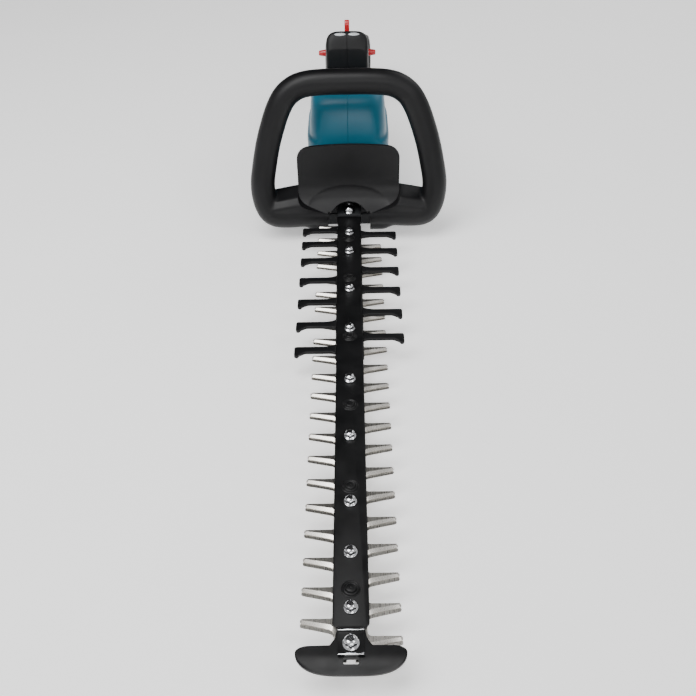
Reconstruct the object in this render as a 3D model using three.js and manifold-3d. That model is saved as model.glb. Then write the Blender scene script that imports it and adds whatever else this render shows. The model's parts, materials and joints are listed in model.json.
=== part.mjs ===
// Cordless double-sided hedge trimmer with a 600 mm class blade.
// Millimetres, +Z up. The blade points along -Y, the rear handle and the battery are at +Y, and
// X = 0 is the plane of symmetry. While it is being built, the model is measured from the front
// left tooth along the blade (the "run", Y) and from the plane between the two blades (the
// "level", Z). The whole group is then moved so that its origin is the middle of its underside.
import * as THREE from 'three';
import { mergeVertices } from 'three/addons/utils/BufferGeometryUtils.js';
import Module from 'manifold-3d';

const wasm = await Module();
wasm.setup();

// ---------------------------------------------------------------- driving dimensions
const CLEARANCE = 0.3; // gap between two pieces that touch
const RUNNING_CLEARANCE = 0.4; // gap beside a piece that moves
const UNDERSIDE_LEVEL = -26; // what the trimmer lies on

// blades
const TOOTH_PITCH = 29;
const TEETH_PER_SIDE = 21;
const BLADE_HALF_SPAN = 40.7;
const BLADE_THICKNESS = 2;
const BLADE_BODY_HALF_WIDTH = 13.2;
const TOOTH_ROOT_WIDTH = 9.2;
const TOOTH_TIP_WIDTH = 4.2;
const TOOTH_REAR_EDGE = 3.5; // rear edge of the first left tooth
const TOOTH_STAGGER = 15.5; // how far a right tooth is ahead of its left one
const HALF_STROKE = TOOTH_PITCH / 4;
const BLADE_REST_LEAD = 1.65; // each blade rests this far from mid-stroke
const BLADE_FRONT_RUN = -30;
const ROOT_RUN = TEETH_PER_SIDE * TOOTH_PITCH; // the rest of the trimmer follows the blade's root

// guide bar and its fasteners
const BAR_HALF_WIDTH = 14.8;
const BAR_THICKNESS = 2.6;
const BAR_FRONT_RUN = -4.5;
const BAR_TONGUE_HALF_WIDTH = 9.5;
const BAR_TONGUE_FRONT_RUN = -33;
const COMB_WEB_THICKNESS = 1.05;
const COMB_HALF_SPAN = 60.3;
const COMB_ARM_WIDTH = 8.6;
const COMB_HOOK_WIDTH = 5.4;
const COMB_HOOK_LENGTH = 6.4;
const COMB_LEFT_RUNS = [-281, -237.5, -195, -152, -110, -73, -41.5].map((back) => ROOT_RUN + back);
const COMB_RIGHT_RUNS = [-259.5, -215.5, -172.5, -131.5, -90, -52].map((back) => ROOT_RUN + back);
const FRONT_BOLT_RUNS = [-23, 10.4, 63.5, 118, 199];
const REAR_BOLT_RUNS = [-328.5, -245, -170, -90.5, -47.5].map((back) => ROOT_RUN + back);
const BOLT_RUNS = [...FRONT_BOLT_RUNS, ...REAR_BOLT_RUNS];
const BOSS_RUNS = [28, 136, 242.5, ROOT_RUN - 258, ROOT_RUN - 147.5, ROOT_RUN - 60];
const ROOT_NUT_RUNS = [ROOT_RUN - 2, ROOT_RUN + 13];
const SHANK_RADIUS = 2.5;
const SLEEVE_RADIUS = 3;
const NUT_ACROSS_FLATS = 8.8;
const NUT_FLANGE_RADIUS = 6;
const NUT_HEIGHT = 6.6;
const BOSS_RADIUS = 5.8;

// tip guard
const GUARD_THICKNESS = 1.8;
const GUARD_HALF_WIDTH = 43;
const GUARD_REAR_RUN = -23.5;
const GUARD_FRONT_RUN = -46;
const BRACKET_HALF_WIDTH = 10;
const BRACKET_FRONT_RUN = -32.9;
const BRACKET_REAR_RUN = -11;
const BRACKET_THICKNESS = 1.4;
const BRACKET_LIP = 2.2;

// crank drive
const CRANK_RUN = ROOT_RUN + 67;
const GEAR_MODULE = 1.25;
const GEAR_TEETH = 40;
const PINION_TEETH = 10;
const GEAR_FACE = 8;
const GEAR_LEVEL = 5.6;
const CAM_RADIUS = 9.5;
const CRANK_SHAFT_RADIUS = 4;
const BEARING_OUTER_RADIUS = 11;
const BEARING_WIDTH = 7;
const YOKE_RIM = 4.6;

// gear case and motor
const CASE_FRONT_RUN = ROOT_RUN + 22;
const CASE_REAR_RUN = ROOT_RUN + 133;
const CASE_HALF_WIDTH = 46;
const CASE_TOP_LEVEL = 46;
const CASE_WALL = 3.5;
const CASE_SPLIT_LEVEL = -8;
const NOSE_FRONT_RUN = ROOT_RUN - 10;
const NOSE_HALF_WIDTH = 16;
const STATOR_RADIUS = 30;
const STATOR_HEIGHT = 36;
const STATOR_LEVEL = 62;
const ROTOR_RADIUS = 17;
const MOTOR_SHAFT_RADIUS = 3;
const FAN_RADIUS = 27;
const HOUSING_WALL = 3;
const BOARD_HALF_WIDTH = 26;
const BOARD_HEIGHT = 58;
const BOARD_THICKNESS = 2;
const HOUSING_TOP_LEVEL = 140;
const HOUSING_HALF_WIDTH = 51;
const HOUSING_FRONT_RUN = ROOT_RUN + 46;
const HOUSING_REAR_RUN = ROOT_RUN + 179;
const HOUSING_SKIRT = 4; // how far the foot of the housing stands proud of its sides
const HOUSING_SKIRT_LEVEL = 82;
const VENT_COUNT = 7;
const VENT_PITCH = 8;
const VENT_WIDTH = 3;
const VENT_HEIGHT = 26;
const VENT_LEVEL = 92;

// front handle and chip shield
const LOOP_BASE_RUN = ROOT_RUN - 3;
const LOOP_BASE_LEVEL = 16;
const LOOP_LEAN = THREE.MathUtils.degToRad(16);
const LOOP_HALF_WIDTH = 112.5; // to the centre line of the tube
const LOOP_RISE = 161;
const TUBE_HALF_WIDTH = 16;
const TUBE_HALF_DEPTH = 16.5;
const TUBE_WALL = 3;
const SWITCH_BAR_HALF_LENGTH = 46;
const SADDLE_FRONT_RUN = ROOT_RUN - 19;
const SADDLE_REAR_RUN = ROOT_RUN + 19;
const ARCH_HALF_WIDTH = 28;
const ARCH_TOP_LEVEL = 26.5;
const SHIELD_RUN = ROOT_RUN + 9;
const SHIELD_THICKNESS = 3.4;
const SHIELD_HALF_WIDTH = 66.5;
const SHIELD_TOP_LEVEL = 101;
const SHIELD_KNEE_LEVEL = 45;
const APRON_FRONT_RUN = ROOT_RUN - 20;
const APRON_LEVEL = 17;
const APRON_FRONT_HALF_WIDTH = 25;

// rear handle, controls and battery
const HEAD_FRONT_RUN = ROOT_RUN + 180;
const HEAD_HALF_WIDTH = 29.5;
const GRIP_HALF_WIDTH = 18;
const NECK_HALF_WIDTH = 29;
const NECK_TOP_LEVEL = 112;
const HANDLE_WALL = 3;
const LEVER_RUN = ROOT_RUN + 240;
const LEVER_HALF_WIDTH = 3.5;
const LEVER_TOP_LEVEL = 177;
const TRIGGER_RUN = ROOT_RUN + 257;
const TRIGGER_HALF_WIDTH = 8;
const TRIGGER_PIVOT_LEVEL = 116;
const LEVER_PIVOT_LEVEL = 146;
const TRIGGER_SWING = 12; // degrees
const LEVER_SWING = 12;
const PIN_RADIUS = 1.5;
const PIN_HALF_LENGTH = 11;
const SWITCH_HALF_WIDTH = 9;
const KNOB_RUN = ROOT_RUN + 213;
const KNOB_LEVEL = 141;
const KNOB_RADIUS = 4.8;
const KNOB_REACH = 40.5;
const SELECTOR_TRAVEL = 4;
const LENS_HALF_LENGTH = 8;
const LENS_HALF_HEIGHT = 3;
const LENS_THICKNESS = 3.4;
const LENS_TILT = THREE.MathUtils.degToRad(31.7);
const LENS_RUN = HEAD_FRONT_RUN + 16.3;
const LENS_LEVEL = 173;
const BATTERY_HALF_WIDTH = 37.5;
const REAR_RUN = ROOT_RUN + 511; // rear face of the battery
const BATTERY_LENGTH = 116;
const BATTERY_FRONT_RUN = REAR_RUN - BATTERY_LENGTH;
const BATTERY_TOP_LEVEL = 34;
const RAIL_HALF_WIDTH = 24;
const RAIL_FRONT_RUN = BATTERY_FRONT_RUN + 18;
const RAIL_HEIGHT = 9;

// ---------------------------------------------------------------- materials
const finish = (color, roughness, metalness) =>
  new THREE.MeshStandardMaterial({ color, roughness, metalness });
const BLACK_NYLON = finish(0x1b1b1d, 0.55, 0);
const BLACK_STEEL = finish(0x161617, 0.45, 0.6);
const TEAL_NYLON = finish(0x1b6b84, 0.4, 0);
const RED_NYLON = finish(0xc22a2e, 0.35, 0);
const GROUND_STEEL = finish(0xd6d4d0, 0.22, 1);
const ZINC_STEEL = finish(0xc9c9cc, 0.3, 1);
const GEAR_STEEL = finish(0x8d8f93, 0.4, 1);
const CAST_MAGNESIUM = finish(0x2a2b2d, 0.6, 0.5);
const COPPER = finish(0xb4683a, 0.4, 1);
const CLEAR_LENS = finish(0xe9ecef, 0.1, 0);
const BOARD_GREEN = finish(0x1e4d38, 0.6, 0);

// ---------------------------------------------------------------- solids
const model = new THREE.Group();

function solidOf(geometry) {
  const bare = geometry.clone();
  for (const name of Object.keys(bare.attributes)) {
    if (name !== 'position') bare.deleteAttribute(name);
  }
  const merged = mergeVertices(bare, 1e-4);
  return new wasm.Manifold(new wasm.Mesh({
    numProp: 3,
    vertProperties: Float32Array.from(merged.attributes.position.array),
    triVerts: Uint32Array.from(merged.index.array),
  }));
}

function add(name, solid, material) {
  const { vertProperties, triVerts } = solid.getMesh();
  const geometry = new THREE.BufferGeometry();
  geometry.setAttribute('position', new THREE.BufferAttribute(vertProperties, 3));
  geometry.setIndex(new THREE.BufferAttribute(triVerts, 1));
  geometry.computeVertexNormals();
  const mesh = new THREE.Mesh(geometry, material);
  mesh.name = name;
  model.add(mesh);
}

const joined = (first, ...others) => others.reduce((whole, one) => whole.add(one), first);

// A box from two opposite corners.
function box(x0, y0, z0, x1, y1, z1) {
  const geometry = new THREE.BoxGeometry(x1 - x0, y1 - y0, z1 - z0);
  return solidOf(geometry.translate((x0 + x1) / 2, (y0 + y1) / 2, (z0 + z1) / 2));
}

// A plan-view outline (x, y) raised between two levels.
function plate(shape, z0, z1, curveSegments = 4) {
  const geometry = new THREE.ExtrudeGeometry(shape, { depth: z1 - z0, bevelEnabled: false, curveSegments });
  return solidOf(geometry.translate(0, 0, z0));
}

// A side-view outline (y, z) drawn out across the width from x0 to x1.
function sidePlate(shape, x0, x1, curveSegments = 4) {
  const geometry = new THREE.ExtrudeGeometry(shape, { depth: x1 - x0, bevelEnabled: false, curveSegments });
  const turn = new THREE.Matrix4().set(0, 0, 1, x0, 1, 0, 0, 0, 0, 1, 0, 0, 0, 0, 0, 1);
  return solidOf(geometry.applyMatrix4(turn));
}

// A front-view outline (x, z) drawn out backwards from y0 to y1.
function frontPlate(shape, y0, y1, curveSegments = 4) {
  const geometry = new THREE.ExtrudeGeometry(shape, { depth: y1 - y0, bevelEnabled: false, curveSegments });
  const turn = new THREE.Matrix4().set(1, 0, 0, 0, 0, 0, -1, y1, 0, 1, 0, 0, 0, 0, 0, 1);
  return solidOf(geometry.applyMatrix4(turn));
}

const outline = (points) => new THREE.Shape(points.map(([a, b]) => new THREE.Vector2(a, b)));

// A turned piece on an upright axis, its profile given as (radius, level) from bottom to top.
function turned(profile, x, y, segments = 24) {
  const points = profile.map(([radius, level]) => new THREE.Vector2(radius, level));
  const geometry = new THREE.LatheGeometry(points, segments).rotateX(Math.PI / 2);
  return solidOf(geometry.translate(x, y, 0));
}

const disc = (radius, z0, z1, x, y, segments = 24) =>
  turned([[0, z0], [radius, z0], [radius, z1], [0, z1]], x, y, segments);

const ring = (inner, outer, z0, z1, x, y, segments = 24) =>
  turned([[inner, z0], [outer, z0], [outer, z1], [inner, z1], [inner, z0]], x, y, segments);

// A turned piece on an axis along X, its profile given as (radius, x).
function turnedAcross(profile, y, z, segments = 20) {
  const points = profile.map(([radius, x]) => new THREE.Vector2(radius, x));
  const geometry = new THREE.LatheGeometry(points, segments).rotateZ(-Math.PI / 2);
  return solidOf(geometry.translate(0, y, z));
}

// Closed rings of equal length, joined in order and closed with a flat fan at each end, or round
// into a torus where closed is true.
function skin(rings, closed = false) {
  const count = rings[0].length;
  const spans = closed ? rings.length : rings.length - 1;
  const triangles = [];
  for (let i = 0; i < spans; i += 1) {
    const next = (i + 1) % rings.length;
    for (let j = 0; j < count; j += 1) {
      const turn = (j + 1) % count;
      const [a, b, c, d] = [i * count + j, i * count + turn, next * count + j, next * count + turn];
      triangles.push([a, b, c], [b, d, c]);
    }
  }
  if (!closed) {
    const last = (rings.length - 1) * count;
    for (let j = 1; j < count - 1; j += 1) {
      triangles.push([0, j + 1, j], [last, last + j, last + j + 1]);
    }
  }
  const geometry = new THREE.BufferGeometry();
  geometry.setAttribute('position', new THREE.Float32BufferAttribute(rings.flat(2), 3));
  geometry.setIndex(triangles.flat());
  const solid = solidOf(geometry);
  if (solid.volume() > 0) return solid;
  // the rings run the other way round, so every triangle is turned over
  geometry.setIndex(triangles.flatMap(([a, b, c]) => [a, c, b]));
  return solidOf(geometry);
}

// One ring of a superellipse in the x-z plane at a run. A higher power gives squarer corners.
function section(run, low, high, halfWidth, power, count = 24, lean = 0) {
  const middle = (low + high) / 2;
  const halfHeight = (high - low) / 2;
  return Array.from({ length: count }, (_, k) => {
    const angle = (2 * Math.PI * (k + 0.5)) / count;
    const c = Math.cos(angle);
    const s = Math.sin(angle);
    const x = halfWidth * Math.sign(c) * Math.abs(c) ** (2 / power);
    const rise = halfHeight * Math.sign(s) * Math.abs(s) ** (2 / power);
    return [x, run + lean * rise, middle + rise];
  });
}

// One ring of a superellipse in plan, at a level.
function planSection(level, front, rear, halfWidth, power, count = 24) {
  const middle = (front + rear) / 2;
  const halfLength = (rear - front) / 2;
  return Array.from({ length: count }, (_, k) => {
    const angle = (2 * Math.PI * (k + 0.5)) / count;
    const c = Math.cos(angle);
    const s = Math.sin(angle);
    const x = halfWidth * Math.sign(c) * Math.abs(c) ** (2 / power);
    return [x, middle + halfLength * Math.sign(s) * Math.abs(s) ** (2 / power), level];
  });
}

const FAR = 2000; // larger than the trimmer, for cutting away one side of a plane
const leftOf = (x) => box(-FAR, -FAR, -FAR, x, FAR, FAR);
const rightOf = (x) => box(x, -FAR, -FAR, FAR, FAR, FAR);

// ---------------------------------------------------------------- levels that follow
const UPPER_BLADE_LEVEL = CLEARANCE / 2;
const LOWER_BLADE_LEVEL = -CLEARANCE / 2 - BLADE_THICKNESS;
const BAR_LEVEL = UPPER_BLADE_LEVEL + BLADE_THICKNESS + CLEARANCE;
const BAR_TOP_LEVEL = BAR_LEVEL + BAR_THICKNESS;
const COMB_RECESS_LEVEL = BAR_LEVEL + COMB_WEB_THICKNESS + CLEARANCE;
const GUARD_LEVEL = BAR_TOP_LEVEL + CLEARANCE;
const BRACKET_LEVEL = GUARD_LEVEL + GUARD_THICKNESS + CLEARANCE;
const BRACKET_TOP_LEVEL = BRACKET_LEVEL + BRACKET_THICKNESS;
const MOTOR_RUN = CRANK_RUN + (GEAR_MODULE * (GEAR_TEETH + PINION_TEETH)) / 2;
const BLADE_TRAVEL = HALF_STROKE + BLADE_REST_LEAD;
const SLOT_HALF_LENGTH = SLEEVE_RADIUS + BLADE_TRAVEL + RUNNING_CLEARANCE;
const YOKE_HALF_WIDTH = HALF_STROKE + CAM_RADIUS + RUNNING_CLEARANCE;
const YOKE_HALF_LENGTH = YOKE_HALF_WIDTH + BLADE_TRAVEL;
const TAIL_HALF_WIDTH = YOKE_HALF_WIDTH + YOKE_RIM;
const TAIL_FRONT_RUN = CRANK_RUN - YOKE_HALF_LENGTH - YOKE_RIM;
const TAIL_REAR_RUN = CRANK_RUN + YOKE_HALF_LENGTH + YOKE_RIM;
const NOSE_LEVEL = BAR_TOP_LEVEL + CLEARANCE;
const NOSE_TOP_LEVEL = NOSE_LEVEL + 3.6;
const RAIL_TOP_LEVEL = BATTERY_TOP_LEVEL + RAIL_HEIGHT;

// ---------------------------------------------------------------- blades
// One blade seen from above. Each tooth has a square rear edge, a raked front edge, a rounded tip
// and a fillet at its root. The tail opens into a yoke around the cams.
function bladeOutline(shift) {
  const shape = new THREE.Shape();
  const body = BLADE_BODY_HALF_WIDTH;
  const fillet = 3.2;
  const tipRadius = 1.4;
  const half = BLADE_HALF_SPAN;
  shape.moveTo(-body + 4, BLADE_FRONT_RUN + shift);
  shape.lineTo(body - 4, BLADE_FRONT_RUN + shift);
  shape.lineTo(body, BLADE_FRONT_RUN + 3 + shift);
  for (let n = 0; n < TEETH_PER_SIDE; n += 1) {
    const rear = n * TOOTH_PITCH + TOOTH_REAR_EDGE - TOOTH_STAGGER + shift;
    const rootFront = rear - TOOTH_ROOT_WIDTH;
    if (n > 0) shape.lineTo(body, rootFront - fillet);
    shape.lineTo(body + fillet, rootFront);
    shape.lineTo(half - tipRadius, rear - TOOTH_TIP_WIDTH);
    shape.quadraticCurveTo(half, rear - TOOTH_TIP_WIDTH, half, rear - TOOTH_TIP_WIDTH + tipRadius);
    shape.lineTo(half, rear - tipRadius);
    shape.lineTo(half - tipRadius, rear);
    shape.lineTo(body + fillet, rear);
    shape.lineTo(body, rear + fillet);
  }
  shape.lineTo(body, TAIL_FRONT_RUN - 8 + shift);
  shape.lineTo(TAIL_HALF_WIDTH, TAIL_FRONT_RUN + shift);
  shape.lineTo(TAIL_HALF_WIDTH, TAIL_REAR_RUN + shift);
  shape.lineTo(-TAIL_HALF_WIDTH, TAIL_REAR_RUN + shift);
  shape.lineTo(-TAIL_HALF_WIDTH, TAIL_FRONT_RUN + shift);
  shape.lineTo(-body, TAIL_FRONT_RUN - 8 + shift);
  for (let n = TEETH_PER_SIDE - 1; n >= 0; n -= 1) {
    const rear = n * TOOTH_PITCH + TOOTH_REAR_EDGE + shift;
    const rootFront = rear - TOOTH_ROOT_WIDTH;
    shape.lineTo(-body, rear + fillet);
    shape.lineTo(-body - fillet, rear);
    shape.lineTo(-half + tipRadius, rear);
    shape.lineTo(-half, rear - tipRadius);
    shape.lineTo(-half, rear - TOOTH_TIP_WIDTH + tipRadius);
    shape.quadraticCurveTo(-half, rear - TOOTH_TIP_WIDTH, -half + tipRadius, rear - TOOTH_TIP_WIDTH);
    shape.lineTo(-body - fillet, rootFront);
    shape.lineTo(-body, rootFront - fillet);
  }
  shape.lineTo(-body, BLADE_FRONT_RUN + 3 + shift);
  return shape;
}

// A long hole with round ends, from one run to another.
function slotHole(from, to, halfWidth, steps = 4) {
  const points = [];
  for (let k = 0; k <= steps; k += 1) {
    const angle = Math.PI + (Math.PI * k) / steps;
    points.push([halfWidth * Math.cos(angle), from + halfWidth + halfWidth * Math.sin(angle)]);
  }
  for (let k = 0; k <= steps; k += 1) {
    const angle = (Math.PI * k) / steps;
    points.push([halfWidth * Math.cos(angle), to - halfWidth + halfWidth * Math.sin(angle)]);
  }
  return outline(points);
}

function makeBlade(name, level, shift) {
  let blade = plate(bladeOutline(shift), level, level + BLADE_THICKNESS, 2);
  const under = level - 1;
  const over = level + BLADE_THICKNESS + 1;
  const slotHalfWidth = SLEEVE_RADIUS + RUNNING_CLEARANCE;
  for (const run of BOLT_RUNS) {
    const from = run - SLOT_HALF_LENGTH + (run === BOLT_RUNS[0] ? HALF_STROKE - 5.5 : 0);
    const slot = slotHole(from + shift, run + SLOT_HALF_LENGTH + shift, slotHalfWidth);
    blade = blade.subtract(plate(slot, under, over));
  }
  const rootFrom = ROOT_NUT_RUNS[0] - SLOT_HALF_LENGTH + shift;
  const rootTo = ROOT_NUT_RUNS[1] + SLOT_HALF_LENGTH + shift;
  blade = blade.subtract(plate(slotHole(rootFrom, rootTo, slotHalfWidth), under, over));
  const yoke = box(-YOKE_HALF_WIDTH, CRANK_RUN - YOKE_HALF_LENGTH + shift, under,
    YOKE_HALF_WIDTH, CRANK_RUN + YOKE_HALF_LENGTH + shift, over);
  add(name, blade.subtract(yoke), GROUND_STEEL);
}

// ---------------------------------------------------------------- guide bar, comb and fasteners
function barOutline() {
  const w = BAR_HALF_WIDTH;
  const t = BAR_TONGUE_HALF_WIDTH;
  return outline([
    [-t, BAR_TONGUE_FRONT_RUN], [t, BAR_TONGUE_FRONT_RUN], [t, BAR_FRONT_RUN - 2],
    [w - 2.5, BAR_FRONT_RUN - 2],
    [w, BAR_FRONT_RUN + 1.5], [w, CASE_FRONT_RUN - CLEARANCE], [-w, CASE_FRONT_RUN - CLEARANCE],
    [-w, BAR_FRONT_RUN + 1.5], [-w + 2.5, BAR_FRONT_RUN - 2], [-t, BAR_FRONT_RUN - 2],
  ]);
}

const COMB_FRONT_RUN = COMB_LEFT_RUNS[0] - 14;
const COMB_REAR_RUN = COMB_LEFT_RUNS.at(-1) + 14;
const COMB_WEB_HALF_WIDTH = BAR_HALF_WIDTH - 2.2;

// A pressed boss in the steel: a low round step with a smaller button in the middle.
function pressedBoss(run) {
  const r = BOSS_RADIUS;
  const top = BAR_TOP_LEVEL;
  return turned([[0, top - 0.6], [r, top - 0.6], [r, top + 0.7], [r - 1, top + 1.1], [r - 2.2, top + 1.1],
    [r - 2.6, top + 2], [r - 3.6, top + 2.6], [0, top + 2.6]], 0, run, 14);
}

function makeGuideBar() {
  let bar = plate(barOutline(), BAR_LEVEL, BAR_TOP_LEVEL);
  bar = bar.subtract(box(-BAR_HALF_WIDTH - 1, COMB_FRONT_RUN - CLEARANCE, BAR_LEVEL - 1,
    BAR_HALF_WIDTH + 1, COMB_REAR_RUN + CLEARANCE, COMB_RECESS_LEVEL));
  for (const run of [...BOLT_RUNS, ...ROOT_NUT_RUNS]) {
    bar = bar.subtract(disc(SLEEVE_RADIUS + CLEARANCE, BAR_LEVEL - 1, BAR_TOP_LEVEL + 1, 0, run, 12));
  }
  for (const run of BOSS_RUNS) bar = bar.add(pressedBoss(run));
  add('guide_bar', bar, BLACK_STEEL);
}

// Blunt comb arms reach past the blade teeth and end in a hook turned towards the tip.
function combArm(run, side) {
  const half = COMB_ARM_WIDTH / 2;
  const root = COMB_WEB_HALF_WIDTH - 1;
  const reach = COMB_HALF_SPAN;
  const hook = COMB_HOOK_WIDTH;
  const points = [
    [root, run - half - 1.6], [BAR_HALF_WIDTH + 5, run - half + 0.6], [reach - hook - 5, run - half + 1],
    [reach - hook + 0.6, run - half - COMB_HOOK_LENGTH + 1.4],
    [reach - hook + 2, run - half - COMB_HOOK_LENGTH],
    [reach - 1, run - half - COMB_HOOK_LENGTH], [reach, run - half - COMB_HOOK_LENGTH + 1.5],
    [reach, run + half - 2], [reach - 1.5, run + half - 0.4], [BAR_HALF_WIDTH + 6, run + half],
    [root, run + half + 2.4],
  ].map(([x, y]) => [side * x, y]);
  if (side < 0) points.reverse();
  return points;
}

function makeComb() {
  const web = COMB_WEB_HALF_WIDTH;
  let comb = box(-web, COMB_FRONT_RUN, BAR_LEVEL, web, COMB_REAR_RUN, BAR_LEVEL + COMB_WEB_THICKNESS);
  const sides = [[COMB_LEFT_RUNS, -1], [COMB_RIGHT_RUNS, 1]];
  for (const [runs, side] of sides) {
    for (const run of runs) {
      const arm = plate(outline(combArm(run, side)), BAR_LEVEL, BAR_TOP_LEVEL);
      const inner = box(-BAR_HALF_WIDTH - CLEARANCE, run - 30, BAR_LEVEL + COMB_WEB_THICKNESS,
        BAR_HALF_WIDTH + CLEARANCE, run + 30, BAR_TOP_LEVEL + 1);
      comb = comb.add(arm.subtract(inner));
    }
  }
  for (const run of BOLT_RUNS) {
    comb = comb.subtract(disc(SLEEVE_RADIUS + CLEARANCE, BAR_LEVEL - 1, BAR_TOP_LEVEL, 0, run, 12));
  }
  add('guard_comb', comb, BLACK_NYLON);
}

// A hexagonal flange nut with a domed top, seated at a level.
function flangeNut(run, level, scale = 1) {
  const flange = turned([[0, level], [NUT_FLANGE_RADIUS * scale, level],
    [NUT_FLANGE_RADIUS * scale, level + 1],
    [NUT_ACROSS_FLATS * 0.5 * scale, level + 2.1], [0, level + 2.1]], 0, run, 12);
  const corner = (NUT_ACROSS_FLATS / 2 / Math.cos(Math.PI / 6)) * scale;
  const hexagon = disc(corner, level + 1, level + NUT_HEIGHT * scale, 0, run, 6);
  const top = level + NUT_HEIGHT * scale;
  const dome = turned([[0, level + 0.9], [corner, level + 0.9], [corner, top - 2.4],
    [corner * 0.8, top - 0.9],
    [corner * 0.45, top], [0, top]], 0, run, 12);
  const bore = disc(SHANK_RADIUS + CLEARANCE, level - 1, top - 1.6, 0, run, 8);
  return flange.add(hexagon.intersect(dome)).subtract(bore);
}

// A bolt from below: a wide head that carries the lower blade, a sleeve that the blades slide on
// and a threaded end that stops inside its nut.
function bladeBolt(run, sleeveTop, nutLevel) {
  const head = LOWER_BLADE_LEVEL - CLEARANCE;
  return turned([[0, head - 2.6], [4.2, head - 2.6], [5.6, head - 1.4], [5.6, head], [SLEEVE_RADIUS, head],
    [SLEEVE_RADIUS, sleeveTop], [SHANK_RADIUS, sleeveTop], [SHANK_RADIUS, nutLevel + 3], [0, nutLevel + 3]],
  0, run, 10);
}

function makeFasteners() {
  BOLT_RUNS.forEach((run, k) => {
    const isTip = k === 0;
    const seat = (isTip ? BRACKET_TOP_LEVEL : BAR_TOP_LEVEL) + CLEARANCE;
    const number = String(k).padStart(2, '0');
    const label = isTip ? 'tip' : `bar_${number}`;
    add(`${label}_nut`, flangeNut(run, seat, isTip ? 1.12 : 1), ZINC_STEEL);
    add(`${label}_bolt`, bladeBolt(run, BAR_TOP_LEVEL - CLEARANCE, seat), ZINC_STEEL);
  });
  ROOT_NUT_RUNS.forEach((run, k) => {
    const seat = NOSE_TOP_LEVEL + CLEARANCE;
    const nut = flangeNut(run, seat, 1.2);
    add(`root_nut_${k + 1}`, nut, ZINC_STEEL);
  });
}

// ---------------------------------------------------------------- tip guard
function makeTipGuard() {
  const shape = new THREE.Shape();
  const w = GUARD_HALF_WIDTH;
  const rear = GUARD_REAR_RUN;
  shape.moveTo(0, GUARD_FRONT_RUN);
  shape.bezierCurveTo(w * 0.45, GUARD_FRONT_RUN, w * 0.8, GUARD_FRONT_RUN + 5, w - 1.5, rear - 11);
  shape.bezierCurveTo(w + 0.5, rear - 7, w, rear - 1.5, w - 6, rear);
  shape.lineTo(17, rear);
  shape.lineTo(11.6, -13.5);
  shape.lineTo(11.2, BAR_FRONT_RUN - 2 - CLEARANCE);
  shape.lineTo(-11.2, BAR_FRONT_RUN - 2 - CLEARANCE);
  shape.lineTo(-11.6, -13.5);
  shape.lineTo(-17, rear);
  shape.lineTo(-w + 6, rear);
  shape.bezierCurveTo(-w, rear - 1.5, -w - 0.5, rear - 7, -w + 1.5, rear - 11);
  shape.bezierCurveTo(-w * 0.8, GUARD_FRONT_RUN + 5, -w * 0.45, GUARD_FRONT_RUN, 0, GUARD_FRONT_RUN);
  const bend = BRACKET_FRONT_RUN - 0.5;
  const drop = Math.tan(THREE.MathUtils.degToRad(15));
  const reach = GUARD_FRONT_RUN - 1 - bend;
  const low = GUARD_LEVEL;
  const high = GUARD_LEVEL + GUARD_THICKNESS;
  const fold = sidePlate(outline([[bend, low], [0, low], [0, high], [bend, high],
    [bend + reach, high + reach * drop], [bend + reach, low + reach * drop]]), -w - 2, w + 2);
  let guard = plate(shape, low - 12, high, 6).intersect(fold);
  const slot = box(-5.8, BRACKET_FRONT_RUN - 5.3, low - 12, 5.8, BRACKET_FRONT_RUN + 0.2, high + 1);
  const hole = disc(SLEEVE_RADIUS + CLEARANCE, low - 1, high + 1, 0, BOLT_RUNS[0], 16);
  guard = guard.subtract(slot).subtract(hole);
  add('tip_guard', guard, BLACK_STEEL);

  const w2 = BRACKET_HALF_WIDTH;
  let bracket = box(-w2, BRACKET_FRONT_RUN, BRACKET_LEVEL, w2, BRACKET_REAR_RUN, BRACKET_TOP_LEVEL);
  const lips = [[BRACKET_FRONT_RUN, BRACKET_FRONT_RUN + BRACKET_THICKNESS],
    [BRACKET_REAR_RUN - BRACKET_THICKNESS, BRACKET_REAR_RUN]];
  for (const [y0, y1] of lips) {
    bracket = bracket.add(box(-w2, y0, BRACKET_LEVEL, w2, y1, BRACKET_TOP_LEVEL + BRACKET_LIP));
  }
  const bore = disc(SHANK_RADIUS + CLEARANCE, BRACKET_LEVEL - 1, BRACKET_TOP_LEVEL + 1, 0, BOLT_RUNS[0],
    16);
  bracket = bracket.subtract(bore);
  add('tip_bracket', bracket, BLACK_STEEL);
}

// ---------------------------------------------------------------- crank drive
function gearOutline(teeth, offset) {
  const pitchRadius = (GEAR_MODULE * teeth) / 2;
  const points = [];
  for (let n = 0; n < teeth; n += 1) {
    const corners = [[-0.28, -1.25], [-0.16, 0.9], [0.16, 0.9], [0.28, -1.25]];
    for (const [turn, rise] of corners) {
      const angle = (2 * Math.PI * (n + offset + turn)) / teeth;
      const radius = pitchRadius + rise * GEAR_MODULE;
      points.push([radius * Math.cos(angle), radius * Math.sin(angle)]);
    }
  }
  return outline(points);
}

function gearWheel(teeth, offset, z0, z1, y) {
  return plate(gearOutline(teeth, offset), z0, z1).translate([0, y, 0]);
}

const CRANK_BOTTOM_LEVEL = -17;
const CRANK_TOP_LEVEL = GEAR_LEVEL + GEAR_FACE + 10;

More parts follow.
